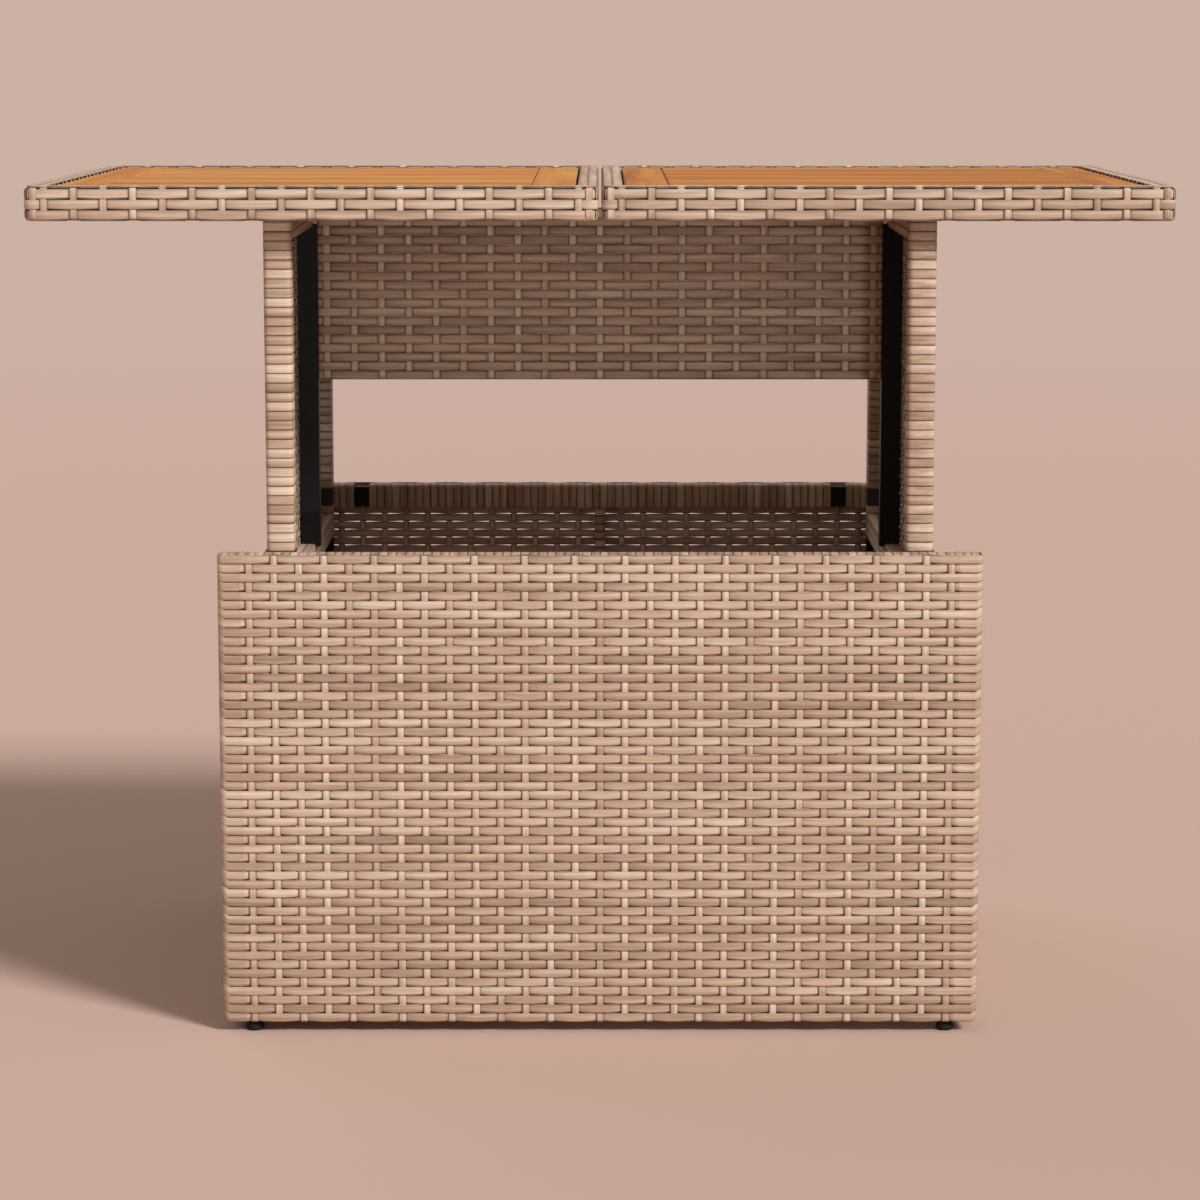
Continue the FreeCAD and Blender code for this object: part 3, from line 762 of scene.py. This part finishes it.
@dataclass(frozen=True)
class Acacia:
    """Oiled acacia: warm orange-brown boards with darker growth bands and short pores."""

    name: str
    grain: Grain
    board_pitch: float
    dark: str = "#9c5a1f"
    middle: str = "#c07b30"
    light: str = "#d49a44"
    stops: Point = (0.27, 0.76)
    log_length: float = 3.0
    log_number: float = 3.0
    board_share: float = 0.2
    # length along the grain and width across it
    band_mm: Point = (455.0, 29.41)
    # real pores are finer: these are wide enough to show
    pore_mm: Point = (25.0, 1.111)
    pore_range: Point = (0.3, 0.55)
    pore_shade: float = 0.74
    # painted shade of the narrow gaps between boards, with grime in them, darkens the joints between these
    # shares of a board's width
    joint_range: Point = (0.005, 0.055)
    joint_shade: float = 0.62
    relief: float = 0.25
    relief_mm: float = 0.2
    rough: float = 0.6
    shine: float = 0.25

    def build(self) -> bpy.types.Material:
        """Make the wood, with its grain running along the board.

        Returns:
            The material.
        """
        made, add, shader = new_material(self.name)
        place = add("ShaderNodeTexCoord").outputs["Object"]
        laid = add("ShaderNodeMapping", {"Vector": place, "Rotation": (0.0, 0.0, -self.grain.value)})
        # each board is cut from its own part of the log
        beside = add(MATH, (add(SPLIT_XYZ, (laid,)).outputs["Y"], self.board_pitch), operation="DIVIDE")
        beside = add(MATH, (beside, 0.5), operation="ADD")
        joint = add(MATH, (beside, 0.5), operation="PINGPONG")
        board = add(MATH, (beside,), operation="FLOOR")
        leaf = add(MATH, (add(SPLIT_XYZ, (place,)).outputs["X"],), operation="SIGN")
        cut = add(JOIN_XYZ, (leaf, board, self.log_number))
        lot = add("ShaderNodeTexWhiteNoise", {"Vector": cut}, noise_dimensions="3D").outputs
        moved = add(VECTOR_MATH, (lot["Color"], (self.log_length,) * 3, laid), operation="MULTIPLY_ADD")
        patterns = []
        for (length, width), look in (
            (self.band_mm, {"Detail": 4.0, "Roughness": 0.6, "Distortion": 0.7}),
            (self.pore_mm, {"Detail": 1.0}),
        ):
            cells = add(VECTOR_MATH, (moved, (length * MM, width * MM, width * MM)), operation="DIVIDE")
            patterns.append(add(NOISE, {"Vector": cells, "Scale": 1.0, **look}))
        bands, pores = patterns
        level = add(MATH, (lot["Value"], self.board_share, -self.board_share / 2), operation="MULTIPLY_ADD")
        colour = add(COLOUR_RAMP, (add(MATH, (level, bands), operation="ADD"),))
        ramp = colour.color_ramp.elements
        ramp[0].position, ramp[0].color = self.stops[0], linear(self.dark)
        ramp[1].position, ramp[1].color = self.stops[1], linear(self.light)
        ramp.new(0.5).color = linear(self.middle)
        shade = add(MAP_RANGE, (pores, *self.pore_range, self.pore_shade, 1.0))
        # painted shade of the gaps between boards, with grime in them: darker near each joint
        seam = (joint, *self.joint_range, self.joint_shade, 1.0)
        edge = add(MAP_RANGE, seam, interpolation_type="SMOOTHSTEP")
        for part in (shade, edge):
            layers = {"Factor": 1.0, "A": colour, "B": part}
            colour = add(MIX, layers, data_type="RGBA", blend_type="MULTIPLY")
        bump = {"Strength": self.relief, "Distance": self.relief_mm * MM, "Height": pores}
        feed(shader, {"Base Color": colour, "Normal": add("ShaderNodeBump", bump)})
        feed(shader, {"Roughness": self.rough, "Specular IOR Level": self.shine})
        return made


@dataclass(frozen=True)
class Coated:
    """A finish that is one colour with a fine grain: powder coat, moulded plastic, rubber or zinc."""

    name: str
    low: str
    high: str
    grain_mm: float
    relief: float
    rough: float
    metallic: float = 0.0
    shine: float = 0.5
    relief_mm: float = 0.1
    stops: Point = (0.3, 0.7)

    def build(self) -> bpy.types.Material:
        """Make the finish.

        Returns:
            The material.
        """
        made, add, shader = new_material(self.name)
        place = add("ShaderNodeTexCoord").outputs["Object"]
        grain = add(NOISE, {"Vector": place, "Scale": 1 / (self.grain_mm * MM), "Detail": 2.0})
        tint = add(COLOUR_RAMP, (grain,))
        ramp = tint.color_ramp.elements
        ramp[0].position, ramp[0].color = self.stops[0], linear(self.low)
        ramp[1].position, ramp[1].color = self.stops[1], linear(self.high)
        bump = {"Strength": self.relief, "Distance": self.relief_mm * MM, "Height": grain}
        feed(shader, {"Base Color": tint, "Normal": add("ShaderNodeBump", bump)})
        feed(shader, {"Roughness": self.rough, "Metallic": self.metallic, "Specular IOR Level": self.shine})
        return made


@dataclass(frozen=True)
class Strands:
    """Strand sizes of one woven piece, in millimetres, and how its plies are laid."""

    row_pitch: float = 8.1
    row_width: float = 7.7
    warp_pitch: float = 22.1
    warp_width: float = 6.3
    turn_pitch: float = 7.8
    turn_width: float = 7.4
    # depth of a strand's middle below the surface
    skin: float = 0.7
    row_wave: float = 0.72
    warp_wave: float = 0.75
    slope: float = 3.6
    # a row lies under a little beyond the warp's edge, and the weave goes on beyond the last slope
    clear: float = 0.2
    lead: float = 0.5
    pinch: float = 0.18
    warp_paleness: float = 0.5

    def rows(self, warps: int, **layout: object) -> Ply:
        """Lay rows that dip under every other warp.

        Args:
            warps: Number of warps.
            layout: The ply's lines, count and pitch, and what else differs from panel to panel.

        Returns:
            The rows.
        """
        under = self.warp_width / 2 + self.clear
        over = under + self.slope
        return Ply(
            width=self.row_width,
            crossing=self.warp_pitch,
            wave=self.row_wave,
            dip=(under, over),
            woven=(warps - 1) / 2 * self.warp_pitch + over + self.lead,
            **layout,
        )

    def warps(self, row_pitch: float, **layout: object) -> Ply:
        """Lay upright warps that dip under every other row.

        Args:
            row_pitch: True spacing of the rows.
            layout: The ply's lines and count, and what else differs from panel to panel.

        Returns:
            The warps.
        """
        return Ply(
            pitch=self.warp_pitch,
            width=self.warp_width,
            crossing=row_pitch,
            wave=self.warp_wave,
            dip=(row_pitch / 3, row_pitch * 2 / 3),
            upright=True,
            paleness=self.warp_paleness,
            **layout,
        )

    def turns(self, section: Outline, span: float, middle: float, upright: bool = True) -> Ply:
        """Wind a strand round a rail or a post.

        Args:
            section: Corners of a turn.
            span: Length that the turns cover.
            middle: Middle of that length.
            upright: Whether the turns stand side by side along a level rail.

        Returns:
            The turns.
        """
        count, pitch = even(span, self.turn_pitch)
        return Ply((section,), count, pitch, self.turn_width, closed=True, upright=upright, middle=middle)


@dataclass(frozen=True)
class Extent:
    """Where a woven CAD piece stands: its sizes in millimetres and the middle of its outer face in metres."""

    width: float
    height: float
    depth: float
    place: Triple
    facing: Facing

    @classmethod
    def of(cls, node: str, facing: Facing) -> Extent:
        """Read a piece's extent from the frame.

        Args:
            node: Name of the CAD node.
            facing: Side that the piece's outer face looks to.

        Returns:
            The extent in the piece's own frame.
        """
        low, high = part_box(node)
        size, middle = (high - low) / MM, (low + high) / 2
        if facing in (Facing.FRONT, Facing.BACK):
            face = low.y if facing is Facing.FRONT else high.y
            return cls(size.x, size.z, size.y, (middle.x, face, middle.z), facing)
        face = low.x if facing is Facing.LEFT else high.x
        return cls(size.y, size.z, size.x, (face, middle.y, middle.z), facing)

    def placed(self, plies: list[Ply]) -> list[PlacedPly]:
        """Give plies this extent's place and facing."""
        return [(ply, self.place, self.facing) for ply in plies]


@dataclass(frozen=True)
class WovenFrame:
    """A woven frame of posts and rails that looks to one side of the table."""

    node: str
    body: str
    facing: Facing
    strands: Strands = Strands()
    rail: float = 25.0

    @cached_property
    def extent(self) -> Extent:
        """Where the frame stands."""
        return Extent.of(self.node, self.facing)


@dataclass(frozen=True)
class WovenPanel(WovenFrame):
    """A frame woven over on its outer face, with wound rails and, where it is wide, a wound stile."""

    has_stile: bool = True
    notch_middle: float = 0.0
    notch_width: float = 15.0
    web: float = 3.0
    web_clear: float = 0.6
    stile_width: float = 11.0
    stile_depth: float = 16.0
    stile_corner: float = 2.5
    foot_margin: float = 4.3
    head_margin: float = 4.4
    end_margin: float = 23.5
    end_rise: float = 4.4
    # the rows climb round the posts between these places, measured from the panel's end
    rise_reach: Point = (-6.0, 2.0)
    row_corner: float = 4.8
    row_tail: float = 1.0
    # a warp runs back under the bottom rail and stops just below the panel's top
    warp_corner: float = 3.0
    warp_hem: float = 10.0
    warp_stop: float = 0.9
    # the turns stay clear of the warps below, of the rows round the posts and of those behind
    hem_clear: float = 1.9
    corner_clear: float = 3.0
    corner_inset: float = 2.3

    def parts(self) -> dict[str, list[PlacedPly]]:
        """Lay out all strands of the panel.

        Returns:
            The plies with their place and facing, by part.
        """
        wound = [*self._rails(), *self._corners()]
        if self.has_stile:
            wound.append(self._stile())
        return {"strands": self.extent.placed(self._weave()), "windings": self.extent.placed(wound)}

    def _weave(self) -> list[Ply]:
        """Lay out the rows and the warps of the outer face.

        Returns:
            The rows and the warps.
        """
        s, extent = self.strands, self.extent
        half, tall, skin = extent.width / 2, extent.height / 2, s.skin
        steps, row_pitch = even(extent.height - self.foot_margin - self.head_margin, s.row_pitch)
        rows, middle = steps + 1, (self.foot_margin - self.head_margin) / 2
        warps = 1 + int(2 * (half - self.end_margin) / s.warp_pitch)
        back, post, front = extent.depth - skin, half - self.rail + skin, self.web / 2
        # a row wraps the post at either end and stops behind the weave
        right = ((half - skin, front), (half - skin, back), (post, back), (post, self.web + self.row_tail))
        left = tuple((-x, y) for x, y in reversed(right))
        row = s.rows(
            warps,
            lines=((*left, *right),),
            count=rows,
            pitch=row_pitch,
            middle=middle,
            phase=(warps + 1) / 2,
            pinch=s.pinch,
            corner=self.row_corner,
            rise=self.end_rise,
            rise_span=tuple(half + reach for reach in self.rise_reach),
        )
        warp = s.warps(
            row_pitch,
            lines=(((skin - tall, self.warp_hem), (skin - tall, front), (tall - self.warp_stop, front)),),
            count=warps,
            corner=self.warp_corner,
            woven=tall - self.warp_stop,
            phase=(rows + 1) / 2 + warps - middle / row_pitch,
        )
        return [row, warp]

    def _spans(self, half: float) -> list[Point]:
        """Share the top rail between its notches.

        Args:
            half: Half the rail's length between the posts.

        Returns:
            Start and end of each wound stretch.
        """
        if not self.notch_middle:
            return [(-half, half)]
        near, far = (self.notch_middle + side * self.notch_width / 2 for side in (-1, 1))
        return [(-half, -far), (-near, near), (far, half)]

    def _rails(self) -> list[Ply]:
        """Lay out the strands wound round the top and bottom rails between the posts.

        Returns:
            The turns.
        """
        s, extent = self.strands, self.extent
        half, tall = extent.width / 2 - self.rail, extent.height / 2
        front, back = self.web + self.web_clear, extent.depth - s.skin
        laid = []
        for near, far, spans in (
            (self.hem_clear - tall, self.rail - s.skin - tall, [(-half, half)]),
            (tall - self.rail + s.skin, tall - s.skin, self._spans(half)),
        ):
            section = oblong(near, far, front, back)
            laid.extend(s.turns(section, stop - start, -(start + stop) / 2) for start, stop in spans)
        return laid

    def _corners(self) -> list[Ply]:
        """Lay out the strands wound over the posts' ends, below the rows that wrap the posts.

        Returns:
            The turns.
        """
        s, extent = self.strands, self.extent
        middle = extent.width / 2 - self.rail / 2 - self.corner_clear / 2
        front, back, tall = self.web + self.web_clear, extent.depth - self.corner_inset, extent.height / 2
        return [
            s.turns(oblong(near, far, front, back), self.rail - self.corner_clear, side * middle)
            for near, far in ((self.hem_clear - tall, self.rail - tall), (tall - self.rail, tall - s.skin))
            for side in (-1, 1)
        ]

    def _stile(self) -> Ply:
        """Lay out the strands wound round the stile behind the weave.

        Returns:
            The turns.
        """
        s, extent = self.strands, self.extent
        count, pitch = even(extent.height - 2 * self.rail, s.row_pitch)
        side, front = self.stile_width / 2 - s.skin, self.web + self.web_clear
        section = oblong(-side, side, front, self.web + self.stile_depth - s.skin)
        return Ply((section,), count, pitch, s.row_width, closed=True, corner=self.stile_corner)


@dataclass(frozen=True)
class LiftSide(WovenFrame):
    """A side frame of the lift: wound posts round a woven web, with a bare band for the clamp."""

    strands: Strands = Strands(row_pitch=8.2, row_width=7.1, turn_pitch=8.4, turn_width=7.9)
    web_middle: float = 10.0
    web_tuck: float = 2.0
    end_margin: float = 12.0
    band_low: float = 33.0
    band_high: float = 50.0
    end_clear: float = 0.3
    turn_gap: float = 0.4
    rail_strands: int = 3
    rail_gap: float = 0.3
    rail_tuck: float = 1.0

    def parts(self) -> dict[str, list[PlacedPly]]:
        """Lay out all strands of the side frame, with their place and facing, by part."""
        return {"strands": self.extent.placed([*self._web(), *self._posts(), *self._rails()])}

    def _web(self) -> list[Ply]:
        """Lay out the woven web between the posts and the rails.

        Returns:
            The rows and the warps.
        """
        s, extent = self.strands, self.extent
        half, tall = extent.width / 2 - self.rail, extent.height / 2 - self.rail
        rows, row_pitch = even(2 * tall, s.row_pitch)
        warps = 1 + int(2 * (half - self.end_margin) / s.warp_pitch)
        across, upward = (
            ((-reach - self.web_tuck, self.web_middle), (reach + self.web_tuck, self.web_middle))
            for reach in (half, tall)
        )
        return [
            s.rows(warps, lines=(across,), count=rows, pitch=row_pitch, phase=(warps - 1) / 2),
            s.warps(row_pitch, lines=(upward,), count=warps, woven=tall, phase=(rows - 1) / 2 + warps),
        ]

    def _posts(self) -> list[Ply]:
        """Lay out the turns round both posts, above and below the bare band.

        Returns:
            The turns.
        """
        s, extent = self.strands, self.extent
        half, tall, skin = extent.width / 2, extent.height / 2, s.skin
        inner, outer, back = half - self.rail + skin, half - skin, extent.depth - skin
        stretches = ((self.end_clear, self.band_low), (self.band_high, extent.height - self.end_clear))
        laid = []
        for near, far in ((-outer, -inner), (inner, outer)):
            section = oblong(near, far, skin, back)
            for low, high in stretches:
                turns = s.turns(section, high - low, (low + high) / 2 - tall, upright=False)
                laid.append(replace(turns, width=min(s.turn_width, turns.pitch - self.turn_gap)))
        return laid

    def _rails(self) -> list[Ply]:
        """Lay out the strands along the top and bottom rails.

        Returns:
            The strands on the upright faces and on the level ones.
        """
        extent, skin, number = self.extent, self.strands.skin, self.rail_strands
        reach, middle = extent.width / 2 - self.rail + self.rail_tuck, extent.height / 2 - self.rail / 2
        pitch = (self.rail - 2 * skin) / number
        sides = [skin, extent.depth - skin]
        level = [extent.depth / 2 + (lane - (number - 1) / 2) * pitch for lane in range(number)]
        faces, lanes = (tuple(((-reach, y), (reach, y)) for y in places) for places in (sides, level))
        laid = []
        for side in (-1, 1):
            common = {"width": pitch - self.rail_gap, "middle": side * middle, "sway": 0.0}
            laid.append(Ply(faces, number, pitch, **common))
            laid.append(Ply(lanes, 2, self.rail - 2 * skin, flat=True, **common))
        return laid


@dataclass(frozen=True)
class LeafRim:
    """The woven rim of one half of the top: lengthwise strands held by rings round the section."""

    node: str
    body: str
    rim: float = 20.0
    rows: int = 3
    row_pitch: float = 9.2
    row_width: float = 8.3
    row_drop: float = 1.0
    row_pinch: float = 0.1
    lane_pitch: float = 8.56
    lane_width: float = 7.7
    ring_pitch: float = 25.75
    ring_width: float = 6.3
    ring_corner: float = 3.4
    slope: float = 3.2
    clear: float = 0.2
    inset: float = 1.4
    wave: float = 0.55
    corner: float = 5.0
    end_margin: float = 12.0
    end_ring: float = 8.4
    paleness: float = 0.15

    def parts(self) -> dict[str, list[PlacedPly]]:
        """Lay out all strands of the rim.

        Returns:
            The plies with their place and facing, by part.
        """
        low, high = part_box(self.node)
        size, middle = (high - low) / MM, tuple((low + high) / 2)
        laid = [(ply, middle, Facing.FRONT) for ply in self._lanes(size)]
        for facing in Facing:
            laid.extend((ply, middle, facing) for ply in self._rings(size, facing))
        return {"strands": laid}

    def _steps(self, length: float) -> int:
        """Number of rings from the middle of a side to its end, without the middle one."""
        return int((length / 2 - self.end_margin) / self.ring_pitch)

    @staticmethod
    def _loop(size: Vector, inset: float) -> Outline:
        """Corners of the leaf's outline, brought in from its outer face, counter-clockwise from above."""
        x, y = size.x / 2 - inset, size.y / 2 - inset
        return oblong(-x, x, -y, y)

    def _lanes(self, size: Vector) -> list[Ply]:
        """Lay out the strands that run along the rim.

        Args:
            size: Size of the leaf in millimetres.

        Returns:
            The outer rows, the strands on top and below, and the lowest inner row.
        """
        under = self.ring_width / 2 + self.clear
        woven, side_woven = (self._steps(span) * self.ring_pitch + under for span in (size.x, size.y))
        common = {
            "closed": True,
            "crossing": self.ring_pitch,
            "corner": self.corner,
            "dip": (under, under + self.slope),
            "woven": woven,
            "side_woven": side_woven,
            "paleness": self.paleness,
        }
        outward = {"wave": self.wave, "phase": -1.0, "rest": -1.0, "pinch": self.row_pinch}
        level = {"width": self.lane_width, "flat": True, "sway": 0.0, "rest": 1.0}
        lanes = tuple(self._loop(size, self.rim / 2 + side * self.lane_pitch / 2) for side in (-1, 1))
        outer, inner = (self._loop(size, inset) for inset in (self.inset, self.rim - self.inset))
        rows = {"pitch": self.row_pitch, "width": self.row_width}
        high, low_row = size.z / 2 - self.inset, -self.row_drop - self.row_pitch
        return [
            Ply((outer,), self.rows, middle=-self.row_drop, **rows, **outward, **common),
            Ply(lanes, 1, 1.0, wave=self.wave, middle=high, **level, **common),
            Ply(lanes, 1, 1.0, wave=-self.wave, middle=-high, phase=1.0, **level, **common),
            Ply((inner,), 1, middle=low_row, **rows, **common),
        ]

    def _rings(self, size: Vector, facing: Facing) -> list[Ply]:
        """Lay out the rings round the rim's section along one side.

        Args:
            size: Size of the leaf in millimetres.
            facing: The side of the leaf.

        Returns:
            The evenly spaced rings and the two at the corners.
        """
        across = facing in (Facing.FRONT, Facing.BACK)
        length, reach = (size.x, size.y) if across else (size.y, size.x)
        tall, deep = size.z / 2 - self.inset, self.rim / 2 - self.inset
        steps, offset = self._steps(length), self.row_drop / self.row_pitch
        common = {
            "lines": (oblong(-tall, tall, -deep, deep),),
            "width": self.ring_width,
            "closed": True,
            "corner": self.ring_corner,
            "crossing": self.row_pitch,
            "wave": self.wave,
            "dip": (self.row_pitch / 3, self.row_pitch * 2 / 3),
            "woven": tall,
            "side_woven": deep,
            "side_phase": 0.5 - offset,
            "paleness": self.paleness,
            "upright": True,
            "shift": (0.0, self.rim / 2 - reach / 2, 0.0),
        }
        end = length / 2 - self.end_ring
        return [
            Ply(count=1 + 2 * steps, pitch=self.ring_pitch, phase=1 + steps + offset, **common),
            *(Ply(count=1, pitch=1.0, middle=middle, phase=1 + offset, **common) for middle in (-end, end)),
        ]


class Fittings:
    """The CAD pieces that are seen as they are, with the finish of each."""

    WORDS = {
        "slat_screws": Finish.ZINC,
        "_slat_": Finish.SLAT,
        "_end_board_": Finish.END_BOARD,
        "bolts": Finish.BOLT,
        "screws": Finish.ZINC,
        "clamp_screw": Finish.ZINC,
        "knob": Finish.NYLON,
        "collars": Finish.NYLON,
        "shoes": Finish.NYLON,
        "inserts": Finish.NYLON,
        "foot_": Finish.RUBBER,
    }
    LEAF_WIDTH = 0.5

    def dress(self) -> None:
        """Give every shown CAD piece its finish."""
        finishes = self._finishes()
        for name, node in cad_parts.items():
            if name.endswith("_weave"):
                continue
            node.data.materials.clear()
            node.data.materials.append(finishes[self._finish(name)])

    def _finishes(self) -> dict[Finish, bpy.types.Material]:
        """Make the finishes.

        Returns:
            Materials by finish.
        """
        low, next_low = (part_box(node)[0] for node in ("leaf_left_slat_2", "leaf_left_slat_3"))
        slat_pitch = abs(next_low.y - low.y)
        looks = {
            Finish.SLAT: Acacia("acacia_slat", Grain.SIDEWAYS, slat_pitch),
            # spaced a leaf's width apart, the joints fall amid the slats and on no end board
            Finish.END_BOARD: Acacia("acacia_end_board", Grain.FRONT_TO_BACK, self.LEAF_WIDTH),
            # sprayed and baked powder: dull black with a faint orange peel
            Finish.STEEL: Coated("black_powder_coat", "#0e0d0d", "#171515", 1.4, 0.35, 0.55, shine=0.2),
            # blackened zinc on bolts: dark grey with a soft metal gleam
            Finish.BOLT: Coated("black_zinc_plate", "#1b1a19", "#2a2827", 3.0, 0.2, 0.45, 0.6),
            # bright zinc on screws: pale grey metal with faint clouds
            Finish.ZINC: Coated("zinc_plate", "#9a9a98", "#c6c5c1", 3.0, 0.2, 0.36, 1.0),
            # moulded nylon: black with a fine satin grain
            Finish.NYLON: Coated("black_nylon", "#161616", "#232323", 0.9, 0.25, 0.5),
            # moulded rubber: deep black without shine
            Finish.RUBBER: Coated("black_rubber", "#070707", "#0e0e0d", 0.6, 0.4, 0.9),
        }
        return {finish: look.build() for finish, look in looks.items()}

    def _finish(self, name: str) -> Finish:
        """Tell by a CAD node's name which finish the piece takes."""
        return next((finish for word, finish in self.WORDS.items() if word in name), Finish.STEEL)


@dataclass(frozen=True)
class Lamp:
    """A far soft lamp that lights the table and the floor evenly.

    Attributes:
        name: Name of the lamp.
        source: Direction that the light comes from.
        spread: Angle that the lamp fills, in degrees; a wide one gives soft shadows.
        strength: Light on a surface that faces the lamp, in watts for each square metre.
    """

    name: str
    source: Triple
    spread: float
    strength: float

    def hang(self) -> None:
        """Put the lamp into the scene."""
        light = bpy.data.lights.new(self.name, "SUN")
        light.angle, light.energy = math.radians(self.spread), self.strength
        hung = new_object(self.name, light)
        hung.rotation_mode = "QUATERNION"
        hung.rotation_quaternion = (-Vector(self.source)).to_track_quat("-Z", "Y")


@dataclass(frozen=True)
class Studio:
    """Plain pale floor, soft light and the camera at the photograph's view."""

    backdrop: str = "#ccb1a5"
    floor: str = "#c3a79a"
    floor_reach: float = 14.0
    floor_sides: int = 64
    floor_fade: Point = (2.0, 9.0)
    sky: str = "#fff6ef"
    sky_strength: float = 0.37
    lamps: tuple[Lamp, ...] = (
        Lamp("key", (0.59, -0.55, 0.59), 14.0, 3.35),
        Lamp("back", (-0.5, 0.65, 0.57), 40.0, 0.4),
        Lamp("fill", (0.1, -1.0, -0.017), 2.0, 0.33),
    )
    camera_place: Triple = (0.0, -3.481, 0.877)
    camera_pitch: float = 8.597
    focal_pixels: float = 3684.0
    sensor: float = 36.0

    def build(self) -> None:
        """Set up the floor, the world, the lamps and the camera."""
        self._floor()
        self._world()
        for lamp in self.lamps:
            lamp.hang()
        self._camera()
        bpy.context.scene.view_settings.view_transform = "Standard"

    def _floor(self) -> None:
        """Lay a round floor that fades into the backdrop far from the table."""
        mesh = bpy.data.meshes.new("studio_floor")
        reach, sides = self.floor_reach, self.floor_sides
        turns = [2 * math.pi * number / sides for number in range(sides)]
        rim = [(reach * math.cos(turn), reach * math.sin(turn), 0.0) for turn in turns]
        mesh.from_pydata(rim, [], [range(sides)])
        floor = new_object("studio_floor", mesh)
        # matt paint: it takes soft shadows and hardly shines
        made, add, shader = new_material("matt_floor")
        feed(shader, {"Base Color": linear(self.floor), "Roughness": 0.9, "Specular IOR Level": 0.1})
        far = add(VECTOR_MATH, (add("ShaderNodeTexCoord").outputs["Object"],), operation="LENGTH")
        gone = add(MAP_RANGE, (far, *self.floor_fade, 0.0, 1.0), interpolation_type="SMOOTHSTEP")
        mixed = add("ShaderNodeMixShader", (gone, shader, add("ShaderNodeBsdfTransparent")))
        feed(made.node_tree.nodes["Material Output"], {"Surface": mixed})
        mesh.materials.append(made)

    def _world(self) -> None:
        """Light softly from all round, and show the backdrop's colour to the camera and in reflections."""
        world = bpy.data.worlds.new("studio_world")
        bpy.context.scene.world = world
        world.use_nodes = True
        add, nodes = partial(add_node, world.node_tree), world.node_tree.nodes
        soft = nodes["Background"]
        feed(soft, {"Color": linear(self.sky), "Strength": self.sky_strength})
        seen = add("ShaderNodeBackground", {"Color": linear(self.backdrop), "Strength": 1.0})
        rays = add("ShaderNodeLightPath").outputs
        seeing = rays["Is Camera Ray"]
        for other in ("Is Glossy Ray", "Is Transmission Ray"):
            seeing = add(MATH, (seeing, rays[other]), operation="MAXIMUM")
        feed(nodes["World Output"], {"Surface": add("ShaderNodeMixShader", (seeing, soft, seen))})

    def _camera(self) -> None:
        """Stand the camera where the photograph was taken from."""
        lens = bpy.data.cameras.new("camera")
        lens.sensor_width = self.sensor
        lens.lens = self.focal_pixels / IMAGE_PIXELS * lens.sensor_width
        camera = new_object("camera", lens)
        camera.location = self.camera_place
        camera.rotation_euler = (math.radians(90 - self.camera_pitch), 0.0, 0.0)
        bpy.context.scene.camera = camera


def main() -> None:
    """Build the pieces in order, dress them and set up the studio."""
    logging.basicConfig(level=logging.INFO, format="%(message)s")
    Fittings().dress()
    log.info("dressed the boards and the fittings")
    loom = StrandLoom(Rattan().build())
    narrow = Strands(row_width=7.45)
    cross = Strands(row_pitch=8.4, row_width=8.35, warp_pitch=25.7, warp_width=6.6, pinch=0.0)
    plain = {"has_stile": False, "end_margin": 8.4, "end_rise": 0.0}
    pieces = [
        WovenPanel("base_front_weave", "base", Facing.FRONT),
        WovenPanel("base_back_weave", "base", Facing.BACK, narrow, notch_middle=243.0),
        WovenPanel("base_left_weave", "base", Facing.LEFT),
        WovenPanel("base_right_weave", "base", Facing.RIGHT),
        LiftSide("lift_left_weave", "lift", Facing.LEFT),
        LiftSide("lift_right_weave", "lift", Facing.RIGHT),
        WovenPanel("cross_panel_weave", "lift", Facing.FRONT, cross, **plain),
        LeafRim("leaf_left_weave", "lift"),
        LeafRim("leaf_right_weave", "lift"),
    ]
    for piece in pieces:
        for part, plies in piece.parts().items():
            made = loom.weave(piece.node.replace("weave", part), plies)
            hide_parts(piece.node)
            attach(made, piece.body)
            made.data.calc_loop_triangles()
            log.info("%s: %d triangles", made.name, len(made.data.loop_triangles))
    Studio().build()


if __name__ == "__main__":
    main()
